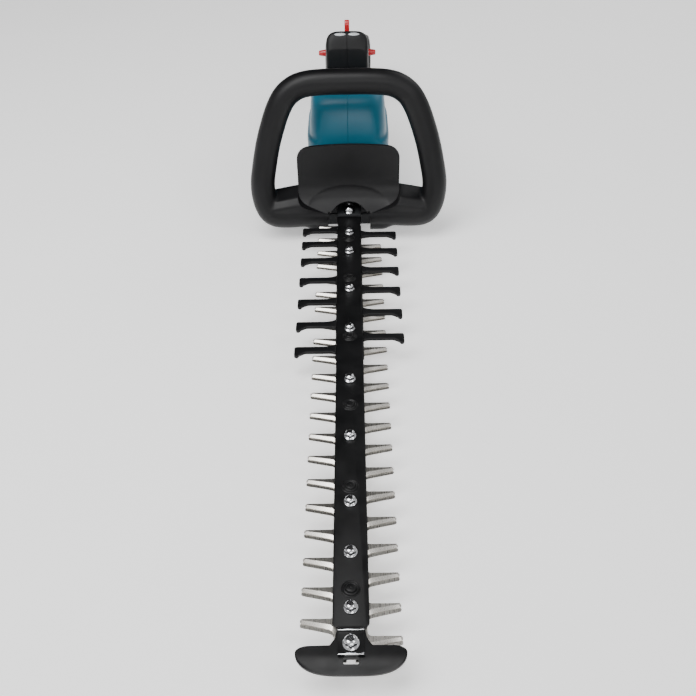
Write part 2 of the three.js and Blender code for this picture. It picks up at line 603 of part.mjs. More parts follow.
function makeCrank() {
  const gearTop = GEAR_LEVEL + GEAR_FACE;
  // a gap of the wheel faces the pinion, and a tooth of the pinion stands in it
  const wheel = gearWheel(GEAR_TEETH, 0.5, GEAR_LEVEL, gearTop, CRANK_RUN);
  const upperCam = disc(CAM_RADIUS, UPPER_BLADE_LEVEL, GEAR_LEVEL, HALF_STROKE, CRANK_RUN, 28);
  const lowerCam = disc(CAM_RADIUS, LOWER_BLADE_LEVEL, UPPER_BLADE_LEVEL, -HALF_STROKE, CRANK_RUN, 28);
  const shaft = disc(CRANK_SHAFT_RADIUS, CRANK_BOTTOM_LEVEL, CRANK_TOP_LEVEL, 0, CRANK_RUN, 20);
  add('crank_gear', joined(wheel, upperCam, lowerCam, shaft), GEAR_STEEL);
  const seats = [['crank_bearing_lower', CRANK_BOTTOM_LEVEL + 1], ['crank_bearing_upper', gearTop + 1.5]];
  for (const [name, level] of seats) {
    const bearing = ring(CRANK_SHAFT_RADIUS + CLEARANCE, BEARING_OUTER_RADIUS, level, level + BEARING_WIDTH,
      0, CRANK_RUN);
    add(name, bearing, GEAR_STEEL);
  }
}

const PINION_BOTTOM_LEVEL = GEAR_LEVEL - 0.5;
const FAN_LEVEL = CASE_TOP_LEVEL + 3;
const MOTOR_SHAFT_TOP_LEVEL = STATOR_LEVEL + STATOR_HEIGHT + 16;

function makeMotor() {
  const gearTop = GEAR_LEVEL + GEAR_FACE;
  const pinion = gearWheel(PINION_TEETH, 0.5, PINION_BOTTOM_LEVEL, gearTop + 1, MOTOR_RUN);
  const shaft = disc(MOTOR_SHAFT_RADIUS, PINION_BOTTOM_LEVEL, MOTOR_SHAFT_TOP_LEVEL, 0, MOTOR_RUN, 16);
  add('motor_shaft', pinion.add(shaft), GEAR_STEEL);

  const bore = MOTOR_SHAFT_RADIUS + CLEARANCE;
  const rotorTop = STATOR_LEVEL + STATOR_HEIGHT - 2;
  add('rotor', ring(bore, ROTOR_RADIUS, STATOR_LEVEL + 2, rotorTop, 0, MOTOR_RUN, 28), GEAR_STEEL);
  const stator = ring(ROTOR_RADIUS + 2 * RUNNING_CLEARANCE, STATOR_RADIUS, STATOR_LEVEL,
    STATOR_LEVEL + STATOR_HEIGHT, 0, MOTOR_RUN, 28);
  add('stator', stator, COPPER);

  let fan = ring(bore, FAN_RADIUS, FAN_LEVEL, FAN_LEVEL + 1.5, 0, MOTOR_RUN, 24);
  fan = fan.add(ring(bore, 8, FAN_LEVEL, FAN_LEVEL + 8, 0, MOTOR_RUN, 16));
  for (let k = 0; k < 9; k += 1) {
    const blade = box(9, -0.8, FAN_LEVEL, FAN_RADIUS - 1, 0.8, FAN_LEVEL + 8).rotate([0, 0, k * 40]);
    fan = fan.add(blade.translate([0, MOTOR_RUN, 0]));
  }
  add('cooling_fan', fan, BLACK_NYLON);

  const bearings = [['motor_bearing_lower', CASE_TOP_LEVEL - CASE_WALL - BEARING_WIDTH - 6],
    ['motor_bearing_upper', MOTOR_SHAFT_TOP_LEVEL - BEARING_WIDTH]];
  for (const [name, level] of bearings) {
    add(name, ring(bore, 8, level, level + 6, 0, MOTOR_RUN, 20), GEAR_STEEL);
  }
}

// ---------------------------------------------------------------- gear case
function makeGearCase() {
  const w = CASE_HALF_WIDTH;
  const inside = w - CASE_WALL;
  const front = CASE_FRONT_RUN;
  const rear = CASE_REAR_RUN;
  const corner = (x, y0, y1, c) => outline([[-x + c, y0], [x - c, y0], [x, y0 + c], [x, y1 - c],
    [x - c, y1],
    [-x + c, y1], [-x, y1 - c], [-x, y0 + c]]);
  let upper = plate(corner(w, front, rear, 10), CASE_SPLIT_LEVEL + CLEARANCE / 2, CASE_TOP_LEVEL);
  const pocket = plate(corner(inside, front + CASE_WALL, rear - CASE_WALL, 8), CASE_SPLIT_LEVEL - 1,
    CASE_TOP_LEVEL - CASE_WALL);
  upper = upper.subtract(pocket);
  // posts inside hold the two upper bearings
  const crankTop = GEAR_LEVEL + GEAR_FACE + 1.5;
  const post = ring(BEARING_OUTER_RADIUS + CLEARANCE, BEARING_OUTER_RADIUS + 4, crankTop + 1,
    CASE_TOP_LEVEL - CASE_WALL + 0.5, 0, CRANK_RUN);
  const motorSeat = CASE_TOP_LEVEL - CASE_WALL - BEARING_WIDTH - 6;
  const motorPost = ring(8 + CLEARANCE, 11.4, motorSeat, CASE_TOP_LEVEL - CASE_WALL + 0.5, 0, MOTOR_RUN);
  upper = upper.add(post).add(motorPost);
  upper = upper.subtract(disc(7, CASE_TOP_LEVEL - CASE_WALL - 1, CASE_TOP_LEVEL + 1, 0, MOTOR_RUN, 20));
  // the nose clamps the root of the guide bar
  const nose = box(-NOSE_HALF_WIDTH, NOSE_FRONT_RUN, NOSE_LEVEL, NOSE_HALF_WIDTH, front + 1,
    NOSE_TOP_LEVEL);
  upper = upper.add(nose);
  const mouth = box(-TAIL_HALF_WIDTH - 2, front - 1, CASE_SPLIT_LEVEL - 1, TAIL_HALF_WIDTH + 2,
    front + CASE_WALL + 0.2, BAR_LEVEL - CLEARANCE);
  upper = upper.subtract(mouth);
  for (const run of ROOT_NUT_RUNS) {
    upper = upper.subtract(disc(SHANK_RADIUS + CLEARANCE, NOSE_LEVEL - 1, NOSE_TOP_LEVEL + 1, 0, run, 12));
  }
  add('gear_case', upper, CAST_MAGNESIUM);

  const top = CASE_SPLIT_LEVEL - CLEARANCE / 2;
  let cover = plate(corner(w, front, rear, 10), UNDERSIDE_LEVEL, top);
  const hollow = corner(inside, front + CASE_WALL, rear - CASE_WALL, 8);
  cover = cover.subtract(plate(hollow, UNDERSIDE_LEVEL + CASE_WALL, top + 1));
  const lowerSeat = CRANK_BOTTOM_LEVEL + 1;
  const cup = ring(BEARING_OUTER_RADIUS + CLEARANCE, BEARING_OUTER_RADIUS + 4,
    UNDERSIDE_LEVEL + CASE_WALL - 0.5, lowerSeat + BEARING_WIDTH - 0.5, 0, CRANK_RUN);
  cover = cover.add(cup);
  // the tongue under the blades carries the root bolts
  const tongueTop = LOWER_BLADE_LEVEL - CLEARANCE;
  const tongue = sidePlate(outline([[NOSE_FRONT_RUN, tongueTop - 3.4], [NOSE_FRONT_RUN, tongueTop],
    [front + CASE_WALL, tongueTop], [front + CASE_WALL, top - 5], [front - 10, top - 5]]),
  -NOSE_HALF_WIDTH, NOSE_HALF_WIDTH);
  cover = cover.add(tongue);
  const studs = ROOT_NUT_RUNS.map((run) => turned([[0, tongueTop - 1], [SLEEVE_RADIUS, tongueTop - 1],
    [SLEEVE_RADIUS, BAR_TOP_LEVEL - CLEARANCE], [SHANK_RADIUS, BAR_TOP_LEVEL - CLEARANCE],
    [SHANK_RADIUS, NOSE_TOP_LEVEL + 3], [0, NOSE_TOP_LEVEL + 3]], 0, run, 16));
  add('gear_case_cover', joined(cover, ...studs), CAST_MAGNESIUM);
}

// ---------------------------------------------------------------- motor housing
// Rows from the gear case up to the crown: the level, how far the front is set back, how far the
// rear is brought forward, how much wider the row is, and its squareness.
const HOUSING_ROWS = [
  [CASE_TOP_LEVEL + CLEARANCE, -3, 0, HOUSING_SKIRT, 5.5],
  [HOUSING_SKIRT_LEVEL, -2, 0, HOUSING_SKIRT, 5.2],
  [HOUSING_SKIRT_LEVEL + 6, 1, 0, 0.5, 5.1],
  [HOUSING_TOP_LEVEL - 42, 2, 0, 0, 5],
  [HOUSING_TOP_LEVEL - 28, 6, 0, -0.8, 4.6],
  [HOUSING_TOP_LEVEL - 16, 15, 2, -2, 4.2],
  [HOUSING_TOP_LEVEL - 8, 27, 6, -4, 3.8],
  [HOUSING_TOP_LEVEL - 3, 42, 14, -7, 3.4],
  [HOUSING_TOP_LEVEL, 58, 24, -12, 3],
];

function housingShell(inset) {
  const rows = HOUSING_ROWS.map(([level, setBack, forward, wider, power], k) => {
    const isCrown = k === HOUSING_ROWS.length - 1;
    const isFoot = k === 0;
    const z = level - (isCrown ? inset : 0) - (isFoot && inset ? 1 : 0);
    return planSection(z, HOUSING_FRONT_RUN + setBack + inset, HOUSING_REAR_RUN - forward - inset,
      HOUSING_HALF_WIDTH + wider - inset, power);
  });
  return skin(rows);
}

function makeMotorHousing() {
  let shell = housingShell(0).subtract(housingShell(HOUSING_WALL));
  const ventFront = HOUSING_REAR_RUN - 24 - VENT_COUNT * VENT_PITCH;
  for (let k = 0; k < VENT_COUNT; k += 1) {
    const run = ventFront + k * VENT_PITCH;
    shell = shell.subtract(box(-FAR, run, VENT_LEVEL, FAR, run + VENT_WIDTH, VENT_LEVEL + VENT_HEIGHT));
  }
  add('motor_housing_left', shell.intersect(leftOf(-CLEARANCE / 2)), TEAL_NYLON);
  add('motor_housing_right', shell.intersect(rightOf(CLEARANCE / 2)), TEAL_NYLON);
  const back = HOUSING_REAR_RUN - HOUSING_WALL - 12;
  const foot = CASE_TOP_LEVEL + 14;
  const board = box(-BOARD_HALF_WIDTH, back - BOARD_THICKNESS, foot, BOARD_HALF_WIDTH, back,
    foot + BOARD_HEIGHT);
  add('controller_board', board, BOARD_GREEN);
}

// ---------------------------------------------------------------- front handle
// A point of the loop: across, and up the leaning plane of the loop.
const loopUp = new THREE.Vector3(0, Math.sin(LOOP_LEAN), Math.cos(LOOP_LEAN));
const loopBack = new THREE.Vector3(0, Math.cos(LOOP_LEAN), -Math.sin(LOOP_LEAN));
const loopBase = new THREE.Vector3(0, LOOP_BASE_RUN, LOOP_BASE_LEVEL);
const loopPoint = (across, up, back = 0) =>
  loopBase.clone().addScaledVector(loopUp, up).addScaledVector(loopBack, back).setX(across);

// Right half of the centre line, as shares of its half width and rise, from the crown down.
const LOOP_CENTRE_LINE = [[0, 1], [0.24, 0.999], [0.445, 0.988], [0.585, 0.957], [0.7, 0.893],
  [0.784, 0.794],
  [0.853, 0.668], [0.918, 0.519], [0.971, 0.348], [1, 0.217], [0.993, 0.106], [0.955, 0.012],
  [0.885, -0.045],
  [0.74, -0.06], [0.4, -0.05], [0, -0.05]];

function loopPath(stations) {
  const right = LOOP_CENTRE_LINE.map(([x, t]) => new THREE.Vector3(x * LOOP_HALF_WIDTH, t * LOOP_RISE, 0));
  const left = right.slice(1, -1).reverse().map((p) => new THREE.Vector3(-p.x, p.y, 0));
  const curve = new THREE.CatmullRomCurve3([...right, ...left], true, 'centripetal');
  return curve.getSpacedPoints(stations).slice(0, stations);
}

function loopTube(inset, stations = 38, count = 12) {
  const path = loopPath(stations);
  const rings = path.map((point, k) => {
    const before = path[(k + stations - 1) % stations];
    const after = path[(k + 1) % stations];
    const along = after.clone().sub(before).normalize();
    const outward = new THREE.Vector3(-along.y, along.x, 0);
    return Array.from({ length: count }, (_, j) => {
      const angle = (2 * Math.PI * (j + 0.5)) / count;
      const reach = (TUBE_HALF_WIDTH - inset) * Math.cos(angle);
      const depth = (TUBE_HALF_DEPTH - inset) * Math.sin(angle);
      return loopPoint(point.x + outward.x * reach, point.y + outward.y * reach, depth).toArray();
    });
  });
  return skin(rings, true);
}

// The saddle joins the two ends of the loop under the chip shield and arches over the blade.
function saddle(inset) {
  const half = LOOP_HALF_WIDTH + 2;
  // each row is a share of the half width, the underside, the top and how far the front is set back
  const rows = [[-1, 4, 20, 6], [-0.86, -4, 30, 0], [-0.6, -6, 36, 0], [0.6, -6, 36, 0], [0.86, -4, 30, 0],
    [1, 4, 20, 6]];
  const rings = rows.map(([share, low, high, setBack]) => {
    const x = share * (half - inset);
    const front = SADDLE_FRONT_RUN + inset + setBack;
    const rear = SADDLE_REAR_RUN - inset;
    const lowest = low + inset;
    const highest = high - inset;
    return [[front, highest - 8], [front + 8, highest], [rear - 4, highest + 6], [rear, highest + 2],
      [rear, lowest + 4], [rear - 5, lowest], [front + 6, lowest],
      [front, lowest + 6]].map(([y, z]) => [x, y, z]);
  });
  return skin(rings);
}

function archCut(margin) {
  const w = ARCH_HALF_WIDTH + margin;
  const top = ARCH_TOP_LEVEL + margin;
  const shape = new THREE.Shape();
  shape.moveTo(-w, -60);
  shape.lineTo(w, -60);
  shape.lineTo(w, top - w * 0.72);
  shape.bezierCurveTo(w, top - w * 0.2, w * 0.6, top, 0, top);
  shape.bezierCurveTo(-w * 0.6, top, -w, top - w * 0.2, -w, top - w * 0.72);
  return frontPlate(shape, SADDLE_FRONT_RUN - 40, CASE_FRONT_RUN - CLEARANCE, 6);
}

// Side view of the chip shield: an upright wall whose foot sweeps forward as an apron.
function shieldProfile() {
  const t = SHIELD_THICKNESS;
  return outline([
    [SHIELD_RUN + t, SHIELD_TOP_LEVEL + 20], [SHIELD_RUN + t, SHIELD_KNEE_LEVEL - 4],
    [SHIELD_RUN - 5, SHIELD_KNEE_LEVEL - 15], [APRON_FRONT_RUN, APRON_LEVEL - t],
    [APRON_FRONT_RUN, APRON_LEVEL],
    [SHIELD_RUN - 9, SHIELD_KNEE_LEVEL - 11], [SHIELD_RUN, SHIELD_KNEE_LEVEL],
    [SHIELD_RUN, SHIELD_TOP_LEVEL + 20],
  ]);
}

// Front view of the chip shield: crowned top with round corners, and a foot like half an ellipse.
function shieldFront(margin) {
  const w = SHIELD_HALF_WIDTH + margin;
  const toe = APRON_FRONT_HALF_WIDTH + margin;
  const apron = APRON_LEVEL - margin;
  const top = SHIELD_TOP_LEVEL + margin;
  const shape = new THREE.Shape();
  shape.moveTo(-w, SHIELD_KNEE_LEVEL - 7);
  shape.bezierCurveTo(-w, apron + 7, -w * 0.72, apron + 5, -toe, apron - 1);
  shape.lineTo(-toe, apron - 8);
  shape.lineTo(toe, apron - 8);
  shape.lineTo(toe, apron - 1);
  shape.bezierCurveTo(w * 0.72, apron + 5, w, apron + 7, w, SHIELD_KNEE_LEVEL - 7);
  shape.lineTo(w - 1.5, top - 17);
  shape.quadraticCurveTo(w - 3, top - 5, w - 15, top - 3.2);
  shape.quadraticCurveTo(0, top + 3.2, -w + 15, top - 3.2);
  shape.quadraticCurveTo(-w + 3, top - 5, -w + 1.5, top - 17);
  return shape;
}

function makeShield() {
  const w = SHIELD_HALF_WIDTH;
  const wall = sidePlate(shieldProfile(), -w - 1, w + 1);
  const front = frontPlate(shieldFront(0), APRON_FRONT_RUN - 5, SHIELD_RUN + 10, 6);
  add('chip_shield', wall.intersect(front).subtract(archCut(0)), BLACK_NYLON);
}

// The space that the chip shield needs, and everything above its apron, is taken out of the saddle.
function shieldSpace(margin) {
  const w = SHIELD_HALF_WIDTH + margin;
  const t = SHIELD_THICKNESS;
  const above = outline([
    [APRON_FRONT_RUN - 40, SHIELD_TOP_LEVEL], [APRON_FRONT_RUN - 40, APRON_LEVEL - t - margin],
    [APRON_FRONT_RUN, APRON_LEVEL - t - margin], [SHIELD_RUN - 5 + margin, SHIELD_KNEE_LEVEL - 15 - margin],
    [SHIELD_RUN + t + margin, SHIELD_KNEE_LEVEL - 4 - margin], [SHIELD_RUN + t + margin, SHIELD_TOP_LEVEL],
  ].reverse());
  const behind = SHIELD_RUN + t + margin;
  return sidePlate(above, -w, w).intersect(frontPlate(shieldFront(margin), APRON_FRONT_RUN - 40, behind,
    6));
}

function makeFrontHandle() {
  const outer = joined(loopTube(0), saddle(0)).subtract(archCut(0)).subtract(shieldSpace(CLEARANCE));
  const inner = joined(loopTube(TUBE_WALL), saddle(TUBE_WALL)).subtract(archCut(TUBE_WALL))
    .subtract(shieldSpace(CLEARANCE + TUBE_WALL));
  const shell = outer.subtract(inner);
  const ahead = (gap) => {
    const reach = 400;
    const corners = [loopPoint(0, -reach, gap), loopPoint(0, reach, gap), loopPoint(0, reach, -reach),
      loopPoint(0, -reach, -reach)].map((p) => [p.y, p.z]);
    return sidePlate(outline(corners.reverse()), -FAR, FAR);
  };
  const switchBay = switchBarSolid(RUNNING_CLEARANCE + 0.3, 3);
  const front = shell.intersect(ahead(-CLEARANCE / 2));
  const rear = shell.subtract(ahead(CLEARANCE / 2)).subtract(switchBay);
  add('front_handle_front', front, BLACK_NYLON);
  add('front_handle_rear', rear, BLACK_NYLON);
  add('front_switch_bar', switchBarSolid(0, 0), BLACK_NYLON);
}

// The switch bar is a long paddle in the rear underside of the crown of the loop.
function switchBarSolid(margin, deeper) {
  const up = LOOP_RISE - TUBE_HALF_WIDTH * 0.45;
  const inside = 4 - margin - deeper;
  const outside = TUBE_HALF_DEPTH + 2 + deeper;
  const corners = [
    loopPoint(0, up - 4 - margin, inside), loopPoint(0, up + 11 + margin, inside),
    loopPoint(0, up + 9 + margin, outside), loopPoint(0, up - 2 - margin, outside),
  ].map((p) => [p.y, p.z]);
  const half = SWITCH_BAR_HALF_LENGTH + margin;
  return sidePlate(outline(corners.reverse()), -half, half);
}

// ---------------------------------------------------------------- rear handle
// Rows of run, underside, top, half width, squareness and lean.
const GRIP_ROWS = [
  [HEAD_FRONT_RUN, 116, 158, HEAD_HALF_WIDTH - 1.5, 5, 0.15],
  [HEAD_FRONT_RUN + 6, 112, 172, HEAD_HALF_WIDTH, 5, 0.2],
  [HEAD_FRONT_RUN + 14, 106, 176.5, HEAD_HALF_WIDTH + 0.5, 4.6, 0.15],
  [KNOB_RUN + 2, 100, 168.5, HEAD_HALF_WIDTH, 4.4, 0],
  [KNOB_RUN + 22, 98, 161, HEAD_HALF_WIDTH - 4, 4, -0.1],
  [LEVER_RUN + 14, 104, 154, GRIP_HALF_WIDTH + 2, 3.4, -0.2],
  [TRIGGER_RUN + 29, 102, 142, GRIP_HALF_WIDTH, 2.8, -0.3],
  [TRIGGER_RUN + 74, 87, 126, GRIP_HALF_WIDTH - 0.5, 2.6, -0.3],
  [BATTERY_FRONT_RUN - 19, 70, 110, GRIP_HALF_WIDTH, 2.8, -0.3],
  [BATTERY_FRONT_RUN + 14, 50, 99, GRIP_HALF_WIDTH + 6, 3.4, -0.2],
  [BATTERY_FRONT_RUN + 36, 40, 92, GRIP_HALF_WIDTH + 12, 4.2, 0],
  [BATTERY_FRONT_RUN + 56, 40, 84, GRIP_HALF_WIDTH + 14, 4.6, 0],
];
const NECK_ROWS = [
  [HOUSING_REAR_RUN + 1, 2, NECK_TOP_LEVEL, NECK_HALF_WIDTH, 5, 0],
  [HOUSING_REAR_RUN + 12, -6, NECK_TOP_LEVEL, NECK_HALF_WIDTH, 4.6, 0],
  [HOUSING_REAR_RUN + 27, -14, NECK_TOP_LEVEL - 4, NECK_HALF_WIDTH, 4.2, 0],
  [HOUSING_REAR_RUN + 47, -18, NECK_TOP_LEVEL - 12, NECK_HALF_WIDTH - 1, 4, 0],
  [HOUSING_REAR_RUN + 64, -20, NECK_TOP_LEVEL - 55, NECK_HALF_WIDTH - 3, 4, 0],
];
const FOOT_ROWS = [
  [CASE_REAR_RUN + 1, -22, 16, NECK_HALF_WIDTH + 5, 5, 0],
  [HOUSING_REAR_RUN + 47, -22, 16, NECK_HALF_WIDTH + 1, 5, 0],
  [BATTERY_FRONT_RUN - 14, -22, 14, NECK_HALF_WIDTH - 1, 5, 0],
  [BATTERY_FRONT_RUN - 1, -20, BATTERY_TOP_LEVEL - 4, NECK_HALF_WIDTH + 1, 5, 0],
];
const CRADLE_ROWS = [
  [BATTERY_FRONT_RUN - 26, BATTERY_TOP_LEVEL - 10, BATTERY_TOP_LEVEL + 22, BATTERY_HALF_WIDTH - 5.5, 5, 0],
  [BATTERY_FRONT_RUN - 12, BATTERY_TOP_LEVEL + 1, BATTERY_TOP_LEVEL + 34, BATTERY_HALF_WIDTH - 0.5, 5.5, 0],
  [BATTERY_FRONT_RUN + 46, BATTERY_TOP_LEVEL + 1, BATTERY_TOP_LEVEL + 42, BATTERY_HALF_WIDTH + 0.5, 5.5, 0],
  [REAR_RUN - 12, BATTERY_TOP_LEVEL + 1, BATTERY_TOP_LEVEL + 30, BATTERY_HALF_WIDTH - 0.5, 5.5, 0],
];

function handleLoft(rows, inset) {
  return skin(rows.map(([run, low, high, half, power, lean], k) => {
    const end = k === 0 ? inset : k === rows.length - 1 ? -inset : 0;
    return section(run + end, low + inset, high - inset, half - inset, power, 20, lean);
  }));
}

function handleBody(inset) {
  return joined(...[GRIP_ROWS, NECK_ROWS, FOOT_ROWS, CRADLE_ROWS].map((rows) => handleLoft(rows, inset)));
}

// Room inside the handle for the battery, which slides out backwards.
function batterySpace() {
  const w = BATTERY_HALF_WIDTH + CLEARANCE;
  const rail = RAIL_HALF_WIDTH + CLEARANCE;
  const pack = box(-w, BATTERY_FRONT_RUN - CLEARANCE, UNDERSIDE_LEVEL - 5, w, FAR,
    BATTERY_TOP_LEVEL + CLEARANCE);
  const rails = box(-rail, RAIL_FRONT_RUN - CLEARANCE, BATTERY_TOP_LEVEL, rail, FAR,
    RAIL_TOP_LEVEL + CLEARANCE);
  return pack.add(rails);
}

// Side views of the trigger and of the lock-off lever.
const triggerShape = (margin) => outline([
  [TRIGGER_RUN - margin, TRIGGER_PIVOT_LEVEL - 6 - margin], [TRIGGER_RUN + 16, 93 - margin],
  [TRIGGER_RUN + 30, 88 - margin], [TRIGGER_RUN + 42 + margin, 90 - margin],
  [TRIGGER_RUN + 42 + margin, 108 + margin],
  [TRIGGER_RUN - margin, TRIGGER_PIVOT_LEVEL + 6 + margin],
]);
const leverShape = (margin) => outline([
  [LEVER_RUN - 8 - margin, 140 - margin], [LEVER_RUN + 8 + margin, 140 - margin],
  [LEVER_RUN + 10 + margin, 156],
  [LEVER_RUN + 8 + margin, LEVER_TOP_LEVEL - 3 + margin], [LEVER_RUN + 4, LEVER_TOP_LEVEL + margin],
  [LEVER_RUN - 1, LEVER_TOP_LEVEL + margin], [LEVER_RUN - 4 - margin, LEVER_TOP_LEVEL - 4 + margin],
  [LEVER_RUN - 6 - margin, 158],
]);

// All the room that a lever needs as it turns about its pin, from rest to its limit.
function swingRoom(lever, [run, level], swing, steps = 4) {
  const centred = lever.translate([0, -run, -level]);
  const poses = Array.from({ length: steps + 1 }, (_, k) => centred.rotate([(swing * k) / steps, 0, 0]));
  return joined(...poses).translate([0, run, level]);
}

// Hinge pins cross the handle; their ends sit in bosses inside the two halves.
const TRIGGER_PIN = [TRIGGER_RUN + 4, TRIGGER_PIVOT_LEVEL];
const LEVER_PIN = [LEVER_RUN, LEVER_PIVOT_LEVEL];
const pin = ([run, level], radius, halfLength) =>
  turnedAcross([[0, -halfLength], [radius, -halfLength], [radius, halfLength],
    [0, halfLength]], run, level, 12);

function knobBar() {
  const inner = HEAD_HALF_WIDTH - 1;
  const r = KNOB_RADIUS;
  return turnedAcross([[0, -KNOB_REACH], [r * 0.66, -KNOB_REACH], [r * 0.74, -KNOB_REACH + 1],
    [r, -inner - 2],
    [r, -inner + 6], [r * 0.5, -inner + 6], [r * 0.5, inner - 6], [r, inner - 6], [r, inner + 2],
    [r * 0.74, KNOB_REACH - 1], [r * 0.66, KNOB_REACH], [0, KNOB_REACH]], KNOB_RUN, KNOB_LEVEL);
}

// The two indicator lenses lie in the sloping panel at the top front of the head.
function lens(side, margin, thickness) {
  const geometry = new THREE.CylinderGeometry(1, 1, 1, 20).rotateX(Math.PI / 2);
  geometry.scale(LENS_HALF_LENGTH + margin, LENS_HALF_HEIGHT + margin, thickness);
  geometry.rotateX(LENS_TILT);
  return solidOf(geometry.translate(side * (LENS_HALF_LENGTH + 1.6), LENS_RUN, LENS_LEVEL));
}

function makeRearHandle() {
  const outer = handleBody(0);
  const inner = handleBody(HANDLE_WALL);
  let shell = outer.subtract(inner);
  const besideCase = box(-FAR, -FAR, -FAR, FAR, CASE_REAR_RUN + 0.5, FAR);
  const besideHousing = box(-FAR, -FAR, CASE_TOP_LEVEL - 10, FAR, HOUSING_REAR_RUN + 0.5, FAR);
  shell = shell.subtract(besideCase).subtract(besideHousing).subtract(batterySpace());
  const triggerBay = TRIGGER_HALF_WIDTH + RUNNING_CLEARANCE;
  const leverBay = LEVER_HALF_WIDTH + RUNNING_CLEARANCE;
  const grownTrigger = sidePlate(triggerShape(2 * RUNNING_CLEARANCE), -triggerBay, triggerBay);
  const grownLever = sidePlate(leverShape(2 * RUNNING_CLEARANCE), -leverBay, leverBay);
  shell = shell.subtract(swingRoom(grownTrigger, TRIGGER_PIN, TRIGGER_SWING));
  shell = shell.subtract(swingRoom(grownLever, LEVER_PIN, LEVER_SWING));
  shell = shell.subtract(pin([KNOB_RUN, KNOB_LEVEL], KNOB_RADIUS + RUNNING_CLEARANCE, 2 * KNOB_REACH));
  for (const side of [-1, 1]) shell = shell.subtract(lens(side, CLEARANCE, 4 * LENS_THICKNESS));
  add('rear_handle_left', shell.intersect(leftOf(-CLEARANCE / 2)), BLACK_NYLON);
  add('rear_handle_right', shell.intersect(rightOf(CLEARANCE / 2)), BLACK_NYLON);
}

function makeControls() {
  const bore = PIN_RADIUS + CLEARANCE;
  const lever = sidePlate(leverShape(0), -LEVER_HALF_WIDTH, LEVER_HALF_WIDTH);
  add('lock_off_lever', lever.subtract(pin(LEVER_PIN, bore, 30)), RED_NYLON);
  const trigger = sidePlate(triggerShape(0), -TRIGGER_HALF_WIDTH, TRIGGER_HALF_WIDTH);
  add('trigger', trigger.subtract(pin(TRIGGER_PIN, bore, 30)), BLACK_NYLON);
  add('lever_pin', pin(LEVER_PIN, PIN_RADIUS, PIN_HALF_LENGTH), GEAR_STEEL);
  add('trigger_pin', pin(TRIGGER_PIN, PIN_RADIUS, PIN_HALF_LENGTH), GEAR_STEEL);
  add('reverse_selector', knobBar(), RED_NYLON);
  add('switch_body', box(-SWITCH_HALF_WIDTH, TRIGGER_RUN + 14, TRIGGER_PIVOT_LEVEL + 7.5, SWITCH_HALF_WIDTH,
    TRIGGER_RUN + 36, TRIGGER_PIVOT_LEVEL + 17), BLACK_NYLON);
  for (const side of [-1, 1]) {
    add(`indicator_lens_${side < 0 ? 'left' : 'right'}`, lens(side, 0, LENS_THICKNESS), CLEAR_LENS);
  }
}

function makeBattery() {
  const w = BATTERY_HALF_WIDTH;
  const shape = outline([[-w + 6, BATTERY_FRONT_RUN], [w - 6, BATTERY_FRONT_RUN],
    [w, BATTERY_FRONT_RUN + 6],
    [w, REAR_RUN - 8], [w - 8, REAR_RUN], [-w + 8, REAR_RUN], [-w, REAR_RUN - 8],
    [-w, BATTERY_FRONT_RUN + 6]]);
  let pack = plate(shape, UNDERSIDE_LEVEL, BATTERY_TOP_LEVEL);
  pack = pack.add(box(-RAIL_HALF_WIDTH, RAIL_FRONT_RUN, BATTERY_TOP_LEVEL - 1, RAIL_HALF_WIDTH,
    REAR_RUN - 14,
    RAIL_TOP_LEVEL));
  const bay = box(-15.5, REAR_RUN - 9, 8, 15.5, REAR_RUN + 1, 24);
  add('battery_pack', pack.subtract(bay), BLACK_NYLON);
  add('battery_release', box(-15, REAR_RUN - 5, 8.4, 15, REAR_RUN - 0.5, 23.6), RED_NYLON);
  add('terminal_block', box(-16, RAIL_FRONT_RUN - 12, BATTERY_TOP_LEVEL + 5, 16, RAIL_FRONT_RUN - 1,
    BATTERY_TOP_LEVEL + 16), BLACK_NYLON);
}

makeBlade('upper_blade', UPPER_BLADE_LEVEL, 0);
makeBlade('lower_blade', LOWER_BLADE_LEVEL, -2 * BLADE_REST_LEAD);
makeGuideBar();
makeComb();
makeFasteners();
makeTipGuard();
makeCrank();
makeMotor();
makeGearCase();
makeMotorHousing();
makeShield();
makeFrontHandle();
makeRearHandle();
makeControls();
makeBattery();

model.position.set(0, -(GUARD_FRONT_RUN + REAR_RUN) / 2, -UNDERSIDE_LEVEL);
export default model;
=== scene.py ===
"""Cordless double-sided hedge trimmer with a 600 mm class blade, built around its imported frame.

Sizes are in millimetres in the maker's frame: x across, the run along the blade from its first left
tooth back to the battery, and the level above the plane between the two blades. to_row() turns them
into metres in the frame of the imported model.
"""
import json
import logging
import math
from dataclasses import dataclass
from enum import Enum
from typing import Iterable, Sequence

import bmesh
import bpy
import numpy as np
from mathutils import Matrix, Vector


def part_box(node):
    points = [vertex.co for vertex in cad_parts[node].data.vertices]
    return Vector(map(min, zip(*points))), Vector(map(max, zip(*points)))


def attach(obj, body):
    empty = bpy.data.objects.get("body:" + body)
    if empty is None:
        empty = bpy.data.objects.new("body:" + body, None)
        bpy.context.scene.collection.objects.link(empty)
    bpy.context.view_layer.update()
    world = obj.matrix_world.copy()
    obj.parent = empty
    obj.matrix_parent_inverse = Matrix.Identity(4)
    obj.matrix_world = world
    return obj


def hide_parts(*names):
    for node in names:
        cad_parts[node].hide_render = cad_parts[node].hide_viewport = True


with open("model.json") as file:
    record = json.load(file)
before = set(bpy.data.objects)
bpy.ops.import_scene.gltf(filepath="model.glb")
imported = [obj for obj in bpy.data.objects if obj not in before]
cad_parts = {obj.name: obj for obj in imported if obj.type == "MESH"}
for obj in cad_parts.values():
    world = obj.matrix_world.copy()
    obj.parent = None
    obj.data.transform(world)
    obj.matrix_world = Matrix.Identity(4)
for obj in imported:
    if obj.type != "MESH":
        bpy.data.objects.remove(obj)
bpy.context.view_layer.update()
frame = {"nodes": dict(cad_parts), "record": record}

Array = np.ndarray
Outline = Sequence[tuple[float, float]]
Source = tuple[bpy.types.Node, str | int]
log = logging.getLogger("hedge_trimmer")

